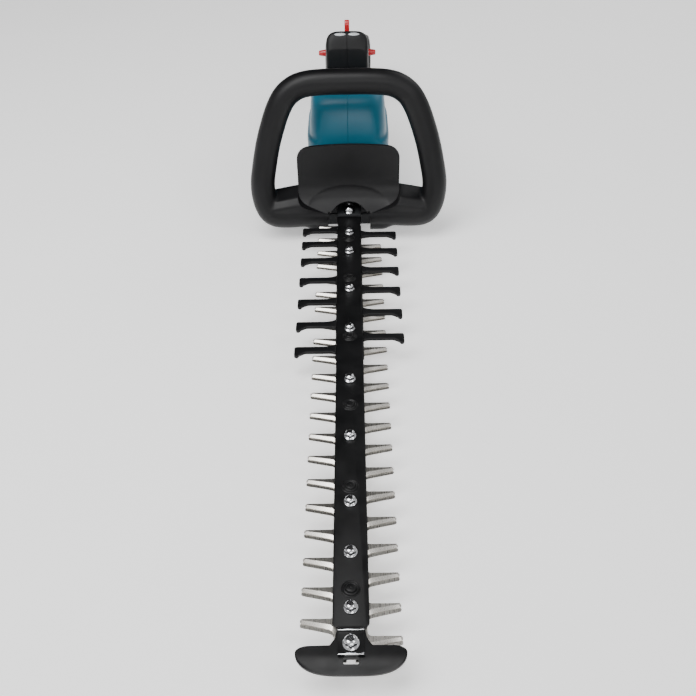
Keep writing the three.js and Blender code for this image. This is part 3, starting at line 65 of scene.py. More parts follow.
MM = 0.001
MIDDLE_RUN = 537.0
UNDERSIDE_LEVEL = -26.0
CLEARANCE = 0.3
SEAM_HALF_WIDTH = 0.35
SEAM_DEPTH = 0.5
FULL_TURN = 2.0 * math.pi
# an edge that turns by more degrees than this is shaded as an edge; a melted skin is rippled and needs more
SHARP = 32.0
FUSED_SHARP = 40.0


# ------------------------------------------------------------------ frames and curves
def to_row(points: Array) -> Array:
    """Turn millimetres in the maker's frame into metres from the middle of the underside."""
    return (np.asarray(points, float) - (0.0, MIDDLE_RUN, UNDERSIDE_LEVEL)) * MM


def middle_of(node: str) -> Array:
    """The middle of a CAD node's box at rest, in millimetres in the maker's frame."""
    low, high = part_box(node)
    return (np.array(low) + np.array(high)) / 2 / MM + (0.0, MIDDLE_RUN, UNDERSIDE_LEVEL)


def catmull(points: Array, steps: int, closed: bool = False) -> Array:
    """Draw a smooth curve through points.

    Each span is the Catmull-Rom cubic: half of (2b + (c-a)t + (2a-5b+4c-d)t^2 + (3b-a-3c+d)t^3) for
    four neighbours a, b, c, d and t from 0 to 1.

    Args:
        points: control values, one row each.
        steps: samples in each span.
        closed: whether the last point joins the first.

    Returns:
        The sampled rows; an open curve ends on its last point.
    """
    p = np.asarray(points, float)
    if closed:
        a, b, c, d = np.roll(p, 1, 0), p, np.roll(p, -1, 0), np.roll(p, -2, 0)
    else:
        ends = np.vstack([2 * p[0] - p[1], p, 2 * p[-1] - p[-2]])
        a, b, c, d = ends[:-3], ends[1:-2], ends[2:-1], ends[3:]
    t = np.linspace(0, 1, steps, endpoint=False)[None, :, None]
    a, b, c, d = (v[:, None, :] for v in (a, b, c, d))
    square, cube = 2 * a - 5 * b + 4 * c - d, 3 * b - a - 3 * c + d
    spans = 0.5 * (2 * b + (c - a) * t + square * t**2 + cube * t**3)
    curve = spans.reshape(-1, p.shape[1])
    return curve if closed else np.vstack([curve, p[-1:]])


def even_steps(curve: Array, count: int) -> Array:
    """Place points at equal distances along a closed curve, found by interpolating its running length.

    Args:
        curve: array (points, 2 or 3).
        count: how many points to place.

    Returns:
        Array (count, 2 or 3).
    """
    loop = np.vstack([curve, curve[:1]])
    length = np.concatenate([[0.0], np.cumsum(np.linalg.norm(np.diff(loop, axis=0), axis=1))])
    wanted = np.linspace(0, length[-1], count, endpoint=False)
    return np.stack([np.interp(wanted, length, loop[:, k]) for k in range(loop.shape[1])], 1)


def squircle(count: int, power: Array) -> Array:
    """One turn of a superellipse of half size 1: cos and sin, each raised to 2/power, sign kept.

    Points crowd about the top and the bottom, where a parting line is cut.

    Args:
        count: points in a ring.
        power: array (rings, 1), where 2 is round and more is squarer.

    Returns:
        Array (rings, count, 2).
    """
    angle = (np.arange(count) + 0.5) * FULL_TURN / count
    angle = angle + 0.25 * np.sin(2 * angle)
    turn = np.stack([np.cos(angle), np.sin(angle)], -1)
    return np.sign(turn) * np.abs(turn) ** (2 / power[..., None])


def arc(centre: tuple[float, float], radius: float, start: float, stop: float, count: int) -> Array:
    """Points on a circle between two angles in degrees."""
    angle = np.radians(np.linspace(start, stop, count))
    return np.stack([centre[0] + radius * np.cos(angle), centre[1] + radius * np.sin(angle)], 1)


def rounded(outline: Outline, radius: float, count: int = 5) -> Array:
    """Round every corner of an outline.

    A corner is replaced by the quadratic curve from the point before it to the point after it, each
    at the radius from the corner, or at 45 % of the shorter side where that is less.

    Args:
        outline: corners in order.
        radius: how far from the corner the rounding starts.
        count: points in each corner.

    Returns:
        Array (corners * count, 2).
    """
    p = np.asarray(outline, float)
    back, ahead = np.roll(p, 1, 0) - p, np.roll(p, -1, 0) - p
    back_length = np.linalg.norm(back, axis=1, keepdims=True)
    ahead_length = np.linalg.norm(ahead, axis=1, keepdims=True)
    reach = np.minimum(radius, 0.45 * np.minimum(back_length, ahead_length))
    a, c = p + back / back_length * reach, p + ahead / ahead_length * reach
    t = np.linspace(0, 1, count)[None, :, None]
    curve = (1 - t) ** 2 * a[:, None] + 2 * t * (1 - t) * p[:, None] + t**2 * c[:, None]
    return curve.reshape(-1, 2)


def chamfered(half: float, front: float, rear: float, ahead: float, behind: float) -> list:
    """A rectangle about x 0 with its corners cut off at 45 degrees.

    Args:
        half: half width.
        front: run of the front side.
        rear: run of the rear side.
        ahead: how much the front corners lose.
        behind: how much the rear corners lose.

    Returns:
        Eight corners, anticlockwise.
    """
    right = [(half - ahead, front), (half, front + ahead), (half, rear - behind), (half - behind, rear)]
    left = [(-x, run) for x, run in right[::-1]]
    return [left[-1], *right, *left[:-1]]


def inset(outline: Array, distance: float) -> Array:
    """Move each point of an outline inwards along the mean of its two sides' normals.

    Args:
        outline: anticlockwise points.
        distance: how far each side moves.

    Returns:
        The moved points.
    """
    ahead = np.roll(outline, -1, 0) - outline
    ahead /= np.linalg.norm(ahead, axis=1, keepdims=True) + 1e-12
    normal = np.stack([-ahead[:, 1], ahead[:, 0]], 1)
    mean = normal + np.roll(normal, 1, 0)
    mean /= np.maximum(np.sum(mean * mean, 1, keepdims=True) / 2, 0.35)
    return outline + mean * distance


# ------------------------------------------------------------------ patches of surface
class Plane(Enum):
    """The plane an outline is drawn in; the numbers say where its axes and its thickness go."""

    PLAN = (0, 1, 2)
    SIDE = (1, 2, 0)
    FRONT = (0, 2, 1)


class Axis(Enum):
    """An axis of the maker's frame; the number is its place in a point."""

    X = 0
    RUN = 1
    LEVEL = 2


@dataclass
class Patch:
    """Points in millimetres and faces as lists of point numbers."""

    points: Array
    faces: list[list[int]]


def rings(points: Array, closed: bool = False) -> Patch:
    """Join rings of points into a skin.

    Args:
        points: array (rings, points in a ring, 3).
        closed: join the last ring to the first, rather than close each end with a flat face.

    Returns:
        The patch.
    """
    count, width = points.shape[:2]
    index = np.arange(count * width).reshape(count, width)
    here = index if closed else index[:-1]
    there = np.roll(index, -1, 0) if closed else index[1:]
    quads = np.stack([here, np.roll(here, -1, 1), np.roll(there, -1, 1), there], -1)
    faces = quads.reshape(-1, 4).tolist()
    if not closed:
        faces += [index[0][::-1].tolist(), index[-1].tolist()]
    return Patch(points.reshape(-1, 3), faces)


def drawn_in(points: Array, both: bool = True) -> Array:
    """Add shrinking rings to the ends of a loft, so that it closes on a point and not a wide face.

    Args:
        points: array (rings, points, 3).
        both: close the first end too, and not only the last.

    Returns:
        The longer array.
    """
    shares = np.array([0.8, 0.6, 0.4, 0.2, 0.03])[:, None, None]
    first, last = points[0].mean(0), points[-1].mean(0)
    before = [(first + (points[0] - first) * shares)[::-1]] if both else []
    return np.concatenate([*before, points, last + (points[-1] - last) * shares])


def weld(patches: Iterable[Patch]) -> Patch:
    """Put several patches into one, each numbered on from the one before.

    Args:
        patches: what to join; overlaps stay as they are.

    Returns:
        One patch with all their points and faces.
    """
    points, faces, start = [], [], 0
    for patch in patches:
        points.append(patch.points)
        faces += [[start + k for k in face] for face in patch.faces]
        start += len(patch.points)
    return Patch(np.concatenate(points), faces)


def plate(outline: Array, low: float, high: float, edge: float = 0.0, plane: Plane = Plane.PLAN,
          steps: int = 3) -> Patch:
    """Thicken an outline and round its edges.

    The rim is a quarter circle at each face: at angle a the outline is inset by edge * (1 - sin a)
    and stands edge * (1 - cos a) inside the face.

    Args:
        outline: anticlockwise points.
        low: where the first face lies on the third axis.
        high: where the second face lies.
        edge: radius of the rounding.
        plane: the plane of the outline.
        steps: rings in each rounding.

    Returns:
        A closed patch.
    """
    outline = np.asarray(outline, float)
    angles = np.linspace(0, math.pi / 2, steps) if edge else np.array([math.pi / 2])
    shrink = np.concatenate([edge * (1 - np.sin(angles)), edge * (1 - np.sin(angles[::-1]))])
    height = np.concatenate([low + edge * (1 - np.cos(angles)), high - edge * (1 - np.cos(angles[::-1]))])
    made = np.zeros((len(shrink), len(outline), 3))
    first, second, third = plane.value
    for k, (gap, level) in enumerate(zip(shrink, height)):
        ring = inset(outline, gap) if gap else outline
        made[k, :, first], made[k, :, second], made[k, :, third] = ring[:, 0], ring[:, 1], level
    return rings(made)


def turned(profile: Outline, centre: Sequence[float], axis: Axis = Axis.LEVEL, segments: int = 48) -> Patch:
    """Turn a profile about an axis: each (radius, height) makes one ring.

    Args:
        profile: radii and heights, in order.
        centre: where height 0 lies, in the maker's frame.
        axis: the axis it turns about.
        segments: points in a ring.

    Returns:
        A closed patch with a small flat at each end.
    """
    p = np.asarray(profile, float)
    angle = np.arange(segments) * FULL_TURN / segments
    made = np.zeros((len(p), segments, 3))
    first, second = (k for k in range(3) if k != axis.value)
    made[..., first] = p[:, :1] * np.cos(angle)
    made[..., second] = p[:, :1] * np.sin(angle)
    made[..., axis.value] = p[:, 1:]
    return rings(made + np.asarray(centre, float))


def block(low: Sequence[float], high: Sequence[float], edge: float = 0.0) -> Patch:
    """A box between two corners, with rounded edges.

    Args:
        low: the corner with the smallest x, run and level.
        high: the corner with the largest.
        edge: radius of the edges.

    Returns:
        A closed patch.
    """
    (x0, y0, z0), (x1, y1, z1) = low, high
    corners = rounded([(x0, y0), (x1, y0), (x1, y1), (x0, y1)], max(edge, 0.01) * 1.2, 4)
    return plate(corners, z0, z1, edge)


# ------------------------------------------------------------------ objects
class Cut(Enum):
    """What to do with the space that two objects share."""

    AWAY = "DIFFERENCE"
    JOINED = "UNION"
    SHARED = "INTERSECT"


def make_piece(name: str, patches: Iterable[Patch], sharp: float = SHARP) -> bpy.types.Object:
    """Make one object from patches, at the origin, with its place in its mesh.

    Args:
        name: name of the piece.
        patches: what it is made of.
        sharp: edges that turn more than this many degrees are shaded as edges.

    Returns:
        The object.
    """
    whole = weld(patches)
    mesh = bpy.data.meshes.new(name)
    mesh.from_pydata(to_row(whole.points), [], whole.faces)
    tidy_faces(mesh, sharp)
    obj = bpy.data.objects.new(name, mesh)
    bpy.context.scene.collection.objects.link(obj)
    return obj


def tidy_faces(mesh: bpy.types.Mesh, sharp: float) -> None:
    """Merge doubles, turn every face outwards and shade smooth up to an angle.

    Args:
        mesh: the mesh to change.
        sharp: the angle in degrees.
    """
    work = bmesh.new()
    work.from_mesh(mesh)
    bmesh.ops.remove_doubles(work, verts=work.verts, dist=1e-6)
    bmesh.ops.recalc_face_normals(work, faces=work.faces)
    if work.calc_volume(signed=True) < 0:
        bmesh.ops.reverse_faces(work, faces=work.faces)
    work.to_mesh(mesh)
    work.free()
    mesh.shade_smooth()
    mesh.set_sharp_from_angle(angle=math.radians(sharp))


def settle(obj: bpy.types.Object, sharp: float) -> None:
    """Put an object's modifiers into its mesh.

    Args:
        obj: the object.
        sharp: shading limit in degrees.
    """
    graph = bpy.context.evaluated_depsgraph_get()
    made = bpy.data.meshes.new_from_object(obj.evaluated_get(graph))
    obj.modifiers.clear()
    old, obj.data = obj.data, made
    made.name = obj.name
    bpy.data.meshes.remove(old)
    tidy_faces(made, sharp)


def combine_object(obj: bpy.types.Object, tool: bpy.types.Object, cut: Cut, sharp: float) -> None:
    """Cut or join an object with another one, which is used up.

    Args:
        obj: the object to change.
        tool: a closed object.
        cut: what to do.
        sharp: shading limit in degrees.
    """
    boolean = obj.modifiers.new("cut", "BOOLEAN")
    boolean.operation, boolean.solver, boolean.object = cut.value, "MANIFOLD", tool
    settle(obj, sharp)
    mesh = tool.data
    bpy.data.objects.remove(tool)
    bpy.data.meshes.remove(mesh)


def combine(obj: bpy.types.Object, patches: Iterable[Patch], cut: Cut = Cut.AWAY,
            sharp: float = SHARP) -> None:
    """Cut or join an object with patches.

    Args:
        obj: the object to change.
        patches: closed patches, used one after the other.
        cut: what to do.
        sharp: shading limit in degrees.
    """
    for patch in patches:
        combine_object(obj, make_piece("tool", [patch]), cut, sharp)


def fuse(obj: bpy.types.Object, voxel: float, rounds: int) -> None:
    """Melt an object's overlapping shells into one skin with soft joins.

    Args:
        obj: the object.
        voxel: size of the remesh, in millimetres.
        rounds: how often the skin is smoothed.
    """
    remesh = obj.modifiers.new("fuse", "REMESH")
    remesh.mode, remesh.voxel_size = "VOXEL", voxel * MM
    smooth = obj.modifiers.new("smooth", "SMOOTH")
    smooth.factor, smooth.iterations = 0.5, rounds
    settle(obj, FUSED_SHARP)


def cut_seam(obj: bpy.types.Object) -> None:
    """Sink a parting line into an object where x is 0.

    The mesh is sliced at -SEAM_HALF_WIDTH, 0 and +SEAM_HALF_WIDTH, and the middle line goes inwards.

    Args:
        obj: the object.
    """
    work = bmesh.new()
    work.from_mesh(obj.data)
    for x in (-SEAM_HALF_WIDTH, SEAM_HALF_WIDTH, 0.0):
        everything = work.verts[:] + work.edges[:] + work.faces[:]
        bmesh.ops.bisect_plane(work, geom=everything, dist=1e-7, plane_co=(x * MM, 0, 0),
                               plane_no=(1, 0, 0))
    work.to_mesh(obj.data)
    work.free()
    count = len(obj.data.vertices)
    place, normal = np.zeros(count * 3), np.zeros(count * 3)
    obj.data.vertices.foreach_get("co", place)
    obj.data.vertices.foreach_get("normal", normal)
    place, normal = place.reshape(-1, 3), normal.reshape(-1, 3)
    line = np.abs(place[:, 0]) < 1e-6
    normal[:, 0] = 0
    place[line] -= normal[line] * SEAM_DEPTH * MM
    obj.data.vertices.foreach_set("co", place.ravel())
    obj.data.update()
    obj.data.set_sharp_from_angle(angle=math.radians(SHARP))


# ------------------------------------------------------------------ finishes
def linear(colour: str) -> tuple[float, float, float, float]:
    """Turn an sRGB colour into a linear one: s/12.92 up to 0.04045, else ((s+0.055)/1.055)^2.4.

    Args:
        colour: # and six hex digits.

    Returns:
        Red, green, blue and alpha.
    """
    shares = [int(colour[k:k + 2], 16) / 255 for k in (1, 3, 5)]
    lit = [s / 12.92 if s <= 0.04045 else ((s + 0.055) / 1.055) ** 2.4 for s in shares]
    return (*lit, 1.0)


def add_node(tree: bpy.types.NodeTree, kind: str, settings: dict | None = None,
             links: dict | None = None) -> bpy.types.Node:
    """Add one node.

    Args:
        tree: where it goes.
        kind: its type name.
        settings: values for its inputs, by name or number, or else for its own properties.
        links: for an input, the node and the output that feed it.

    Returns:
        The node.
    """
    node = tree.nodes.new(kind)
    for key, value in (settings or {}).items():
        if isinstance(key, str) and hasattr(node, key):
            setattr(node, key, value)
        else:
            node.inputs[key].default_value = value
    for key, (source, output) in (links or {}).items():
        tree.links.new(source.outputs[output], node.inputs[key])
    return node


def new_material(name: str) -> tuple[bpy.types.Material, bpy.types.NodeTree, dict]:
    """Start a material.

    Args:
        name: what the real material is.

    Returns:
        The material, its emptied tree and the link that lays a pattern on Object coordinates.
    """
    material = bpy.data.materials.new(name)
    material.use_nodes = True
    tree = material.node_tree
    tree.nodes.clear()
    return material, tree, {"Vector": (add_node(tree, "ShaderNodeTexCoord"), "Object")}


def shade(tree: bpy.types.NodeTree, colours: tuple[str, str], tint_by: Source,
          relief: tuple[float, float], relief_by: Source, settings: dict,
          gloss: Sequence[float] = (), gloss_by: Source | None = None) -> None:
    """Finish a material: a tint between two colours, a bump, an uneven gloss where it has one, the shader.

    Args:
        tree: the material's tree.
        colours: the hex colours where the tint's pattern is 0 and where it is 1.
        tint_by: the pattern of the tint.
        relief: the bump's strength, and its height in millimetres.
        relief_by: the pattern of the bump.
        settings: values for the shader's own inputs.
        gloss: two values of the gloss's pattern, and the roughness at each.
        gloss_by: the pattern of the gloss.
    """
    tint = add_node(tree, "ShaderNodeMix",
                    {"data_type": "RGBA", 6: linear(colours[0]), 7: linear(colours[1])}, {0: tint_by})
    bump = add_node(tree, "ShaderNodeBump", {"Strength": relief[0], "Distance": relief[1] * MM},
                    {"Height": relief_by})
    links = {"Base Color": (tint, 2), "Normal": (bump, 0)}
    if gloss_by:
        limits = dict(zip(("From Min", "From Max", "To Min", "To Max"), gloss))
        uneven = add_node(tree, "ShaderNodeMapRange", limits, {"Value": gloss_by})
        links["Roughness"] = (uneven, 0)
    shader = add_node(tree, "ShaderNodeBsdfPrincipled", settings, links)
    add_node(tree, "ShaderNodeOutputMaterial", links={"Surface": (shader, 0)})


@dataclass(frozen=True)
class MouldedPlastic:
    """Injection-moulded plastic: a spark-eroded grain, and slow drifts of colour and gloss.

    grain is the size of the tool's texture in millimetres. The real one is about 0.1 mm, too fine to
    show, so it is drawn several times coarser and shallower.
    """

    name: str
    colour: str
    worn: str
    roughness: float
    grain: float
    relief: float
    specular: float = 0.5
    coat: float = 0.0
    drift: float = 45.0

    def material(self) -> bpy.types.Material:
        """Build the material.

        Returns:
            The material, under this finish's name.
        """
        made, tree, here = new_material(self.name)
        drift = add_node(tree, "ShaderNodeTexNoise", {"Scale": 1 / (self.drift * MM), "Detail": 3.0}, here)
        grain = add_node(tree, "ShaderNodeTexNoise", {"Scale": 1 / (self.grain * MM), "Detail": 2.0}, here)
        settings = {"IOR": 1.53, "Specular IOR Level": self.specular, "Coat Weight": self.coat,
                    "Coat Roughness": 0.12}
        shade(tree, (self.colour, self.worn), (drift, "Fac"), (0.35, self.relief), (grain, "Fac"), settings,
              (0.3, 0.7, self.roughness - 0.05, self.roughness + 0.06), (drift, "Fac"))
        return made


@dataclass(frozen=True)
class BareMetal:
    """Bare metal with the marks of how it was worked.

    marks gives the size of the marks in millimetres along x, the run and the level: long on the way
    the wheel or the cutter went, and short across it. cloud is the size of the duller areas.
    """

    name: str
    colour: str
    dull: str
    roughness: float
    marks: tuple[float, float, float]
    relief: float
    anisotropy: float = 0.0
    cloud: float = 25.0

    def material(self) -> bpy.types.Material:
        """Build the material.

        Returns:
            The material, under this finish's name.
        """
        made, tree, here = new_material(self.name)
        scale = tuple(1 / (mark * MM) for mark in self.marks)
        stretch = add_node(tree, "ShaderNodeMapping", {"Scale": scale}, here)
        marks = add_node(tree, "ShaderNodeTexNoise", {"Scale": 1.0, "Detail": 4.0, "Roughness": 0.6},
                         {"Vector": (stretch, 0)})
        cloud = add_node(tree, "ShaderNodeTexNoise", {"Scale": 1 / (self.cloud * MM), "Detail": 3.0}, here)
        shade(tree, (self.dull, self.colour), (cloud, "Fac"), (0.15, self.relief), (marks, "Fac"),
              {"Metallic": 1.0, "Anisotropic": self.anisotropy},
              (0.25, 0.75, self.roughness - 0.03, self.roughness + 0.04), (marks, "Fac"))
        return made


@dataclass(frozen=True)
class CoatedMetal:
    """Painted or dip-coated metal: a slightly wavy film that is thinner and lighter in places.

    wave is the distance between the waves of the film in millimetres, and cloud the size of the
    lighter areas.
    """

    name: str
    colour: str
    thin: str
    roughness: float
    wave: float
    relief: float
    cloud: float = 18.0

    def material(self) -> bpy.types.Material:
        """Build the material.

        Returns:
            The material, under this finish's name.
        """
        made, tree, here = new_material(self.name)
        peel = add_node(tree, "ShaderNodeTexVoronoi",
                        {"feature": "SMOOTH_F1", "Scale": 1 / (self.wave * MM)}, here)
        cloud = add_node(tree, "ShaderNodeTexNoise", {"Scale": 1 / (self.cloud * MM), "Detail": 5.0}, here)
        settings = {"IOR": 1.5, "Specular IOR Level": 0.25, "Coat Weight": 0.04, "Coat Roughness": 0.2}
        shade(tree, (self.colour, self.thin), (cloud, "Fac"), (0.3, self.relief), (peel, "Distance"),
              settings, (0.3, 0.7, self.roughness - 0.06, self.roughness + 0.1), (cloud, "Fac"))
        return made


@dataclass(frozen=True)
class BandedPart:
    """A wound or printed part: bands of two colours, such as enamelled wire or copper tracks.

    pitch is the distance between bands in millimetres; the bands follow one another along an axis. A
    wave texture has 20 bands in a unit.
    """

    name: str
    colour: str
    gap: str
    pitch: float
    along: Axis
    metallic: float
    roughness: float

    def material(self) -> bpy.types.Material:
        """Build the material.

        Returns:
            The material, under this finish's name.
        """
        made, tree, here = new_material(self.name)
        bands = add_node(tree, "ShaderNodeTexWave",
                         {"bands_direction": "XYZ"[self.along.value], "Scale": 1 / (self.pitch * MM) / 20,
                          "Distortion": 1.5, "Detail": 2.0}, here)
        shade(tree, (self.gap, self.colour), (bands, "Fac"), (0.6, 0.2), (bands, "Fac"),
              {"Metallic": self.metallic, "Roughness": self.roughness})
        return made


@dataclass(frozen=True)
class ClearLens:
    """Clear polycarbonate in a pale colour that paints in a white reflection, with sharp highlights and
    faint flow lines.
    """

    name: str
    colour: str
    flow: float

    def material(self) -> bpy.types.Material:
        """Build the material.

        Returns:
            The material, under this finish's name.
        """
        made, tree, here = new_material(self.name)
        lines = add_node(tree, "ShaderNodeTexNoise", {"Scale": 1 / (self.flow * MM), "Detail": 1.0}, here)
        # the pale colour and its drift towards white are a painted reflection of white
        shade(tree, (self.colour, "#ffffff"), (lines, "Fac"), (0.1, 0.05), (lines, "Fac"),
              {"IOR": 1.585, "Roughness": 0.06, "Transmission Weight": 0.35})
        return made


class Finish(Enum):
    """The finishes of the trimmer, each under the record's slot name."""

    # glass-filled nylon, moulded in an eroded tool: dull black with a soft sheen
    black_nylon = MouldedPlastic("glass_filled_nylon_black", "#0b0b0c", "#131315", 0.42, 0.7, 0.05,
                                 specular=0.24)
    # nylon, moulded in a finer tool: satin, with a deeper colour in the shade
    teal_nylon = MouldedPlastic("moulded_nylon_teal", "#135a70", "#18677e", 0.42, 0.6, 0.03,
                                specular=0.35, coat=0.05)
    # polished-tool nylon: glossy red
    red_nylon = MouldedPlastic("moulded_nylon_red", "#b3141c", "#c7242a", 0.24, 0.8, 0.02, coat=0.3)
    # hardened blade steel, surface ground along its length: bright, with fine lines along the run
    ground_tool_steel = BareMetal("ground_tool_steel", "#dddad4", "#c6c2bb", 0.28, (0.6, 30.0, 0.6), 0.007,
                                  anisotropy=0.3)
    # pressed steel, dip-coated black: satin
    black_coated_steel = CoatedMetal("dip_coated_steel_black", "#0a0a0b", "#151516", 0.36, 2.2, 0.05)
    # zinc-plated steel: bright and slightly blue
    zinc_plated_steel = BareMetal("zinc_plated_steel", "#e6e7ea", "#cfd0d3", 0.15, (2.5, 2.5, 2.5), 0.008)
    # turned and hobbed steel with an oil film
    machined_steel = BareMetal("machined_steel", "#9a9ca0", "#7f8185", 0.32, (8.0, 8.0, 0.4), 0.02)
    # die-cast magnesium under black paint: orange peel
    cast_magnesium = CoatedMetal("painted_die_cast_magnesium", "#1d1e20", "#2b2c2e", 0.52, 1.4, 0.12)
    # enamelled copper wire on the stator
    copper_winding = BandedPart("enamelled_copper_wire", "#b4683a", "#4a2412", 0.9, Axis.LEVEL, 0.9, 0.3)
    # lacquered board with tracks
    circuit_board = BandedPart("lacquered_circuit_board", "#1e5a3e", "#123a28", 3.0, Axis.X, 0.0, 0.45)
    # polycarbonate windows, coloured pale as a painted white reflection
    clear_lens = ClearLens("clear_polycarbonate", "#c9d2da", 1.5)


# ------------------------------------------------------------------ blades and bar
@dataclass
class SubAssembly:
    """A group of pieces, which takes its materials from the trimmer's finishes."""

    finishes: dict[Finish, bpy.types.Material]

    def dress(self, obj: bpy.types.Object, body: str, finish: Finish, *replaced: str) -> None:
        """Give a piece its finish, let it ride on its body and name what it stands for.

        Args:
            obj: the piece.
            body: the CAD body that it moves with.
            finish: its finish, which is also the record's material slot.
            replaced: the CAD nodes that it replaces.
        """
        obj.data.materials.clear()
        obj.data.materials.append(self.finishes[finish])
        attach(obj, body)
        if replaced:
            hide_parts(*replaced)
        log.info("%s: %d faces on %s", obj.name, len(obj.data.polygons), body)


@dataclass
class Blades(SubAssembly):
    """The two toothed strips. Each tooth has a ground bevel on its raked front edge."""

    pitch: float = 29.0
    teeth: int = 21
    half_span: float = 40.7
    body_half_width: float = 13.2
    root_width: float = 9.2
    tip_width: float = 4.2
    rear_edge: float = 3.5
    stagger: float = 15.5
    thickness: float = 2.0
    front_run: float = -30.0
    tail_run: float = 690.0
    land: float = 0.35
    slot_half_length: float = 12.3
    slot_half_width: float = 3.4
    sharp: float = 12.0

    def tooth(self) -> tuple[Array, Array]:
        """One right-hand tooth, from its front root to its rear root, the rear edge at run 0.

        Returns:
            The outline as distances from the body's edge and the rear edge, and how far each point
            of the outline moves to reach the flat behind the bevel.
        """
        reach = self.half_span - self.body_half_width
        front, tip = -self.root_width, -self.tip_width
        root = np.array([(0, front - 5.2), (0.5, front - 2.9), (1.7, front - 1.1), (3.6, front - 0.1)])
        edge = np.array([(3.6, front), (reach - 2.2, tip)])
        face = edge[0] + (edge[1] - edge[0]) * np.array([0.35, 0.7, 1.0])[:, None]
        nose = np.array([(reach - 1.0, tip + 0.35), (reach - 0.2, tip + 1.2), (reach, tip + 2.0),
                         (reach, -1.3), (reach - 0.35, -0.4), (reach - 1.2, 0.0)])
        back = np.array([(reach * 0.5, 0.0), (3.4, 0.0), (1.5, 0.6), (0.4, 1.9), (0, 4.0)])
        outline = np.concatenate([root, face, nose, back])
        move = np.array([(-0.4, 0.3), (-0.5, 1.3), (-0.7, 2.6), (-0.4, 3.5), (-0.3, 3.1), (-0.3, 2.7),
                         (-0.6, 2.2), (-1.1, 2.0), (-1.4, 1.6), (-1.5, 1.0), (-1.3, 0.2), (-1.1, -0.3),
                         (-0.6, -0.5), (0, -0.55), (-0.1, -0.5), (-0.4, -0.3), (-0.5, 0.1), (-0.4, 0.4)])
        return outline, move

    def outline(self, shift: float, inner: float) -> Array:
        """The outline of a whole blade, or of its flat: the teeth of both rows set along the strip.

        Args:
            shift: how far the blade stands behind the middle of its stroke.
            inner: 0 for the blade, or how far the flat's sides and front end lie inside it.

        Returns:
            Anticlockwise points, the same number for the blade and for its flat.
        """
        tooth, move = self.tooth()
        if inner:
            tooth = tooth + move
        w, half, front = self.body_half_width - inner, self.body_half_width, self.front_run
        run = tooth[:, 1] + (np.arange(self.teeth) * self.pitch + self.rear_edge)[:, None]
        x = np.broadcast_to(half + tooth[:, 0], run.shape)
        right, left = np.stack([x, run - self.stagger], -1), np.stack([-x, run], -1)
        nose = [(-w + 4, front + inner), (w - 4, front + inner), (w, front + 3)]
        tail = [(w, self.tail_run), (-w, self.tail_run)]
        parts = [nose, right.reshape(-1, 2), tail, left.reshape(-1, 2)[::-1], [(-w, front + 3)]]
        return np.concatenate(parts) + (0, shift)

    def build(self, name: str, low: float, shift: float, bevel_up: bool, bolts: Sequence[float]) -> None:
        """Build one blade.

        Three rings are joined: the flat behind the bevels, the edge at the height of the land, and
        the edge on the shear face.

        Args:
            name: the CAD node, which is also the body.
            low: level of the underside.
            shift: how far the blade stands behind the middle of its stroke.
            bevel_up: whether the bevels face up.
            bolts: runs of the slots.
        """
        edge, flat = self.outline(shift, 0.0), self.outline(shift, 0.5)
        shear, top = (low, low + self.thickness) if bevel_up else (low + self.thickness, low)
        land = shear + (self.land if bevel_up else -self.land)
        levels = [(edge, shear), (edge, land), (flat, top)]
        points = np.stack([np.column_stack([ring, np.full(len(ring), level)]) for ring, level in levels])
        blade = make_piece(name, [rings(points)], self.sharp)
        half = self.slot_half_width
        slots, straight = [], self.slot_half_length - half
        for run in bolts:
            ends = [arc((0, run + shift + side * straight), half, start, start + 180, 9)
                    for side, start in ((-1, 180), (1, 0))]
            slots.append(plate(np.concatenate(ends), low - 1, low + self.thickness + 1))
        combine(blade, [weld(slots)], sharp=self.sharp)
        self.dress(blade, name, Finish.ground_tool_steel, name)


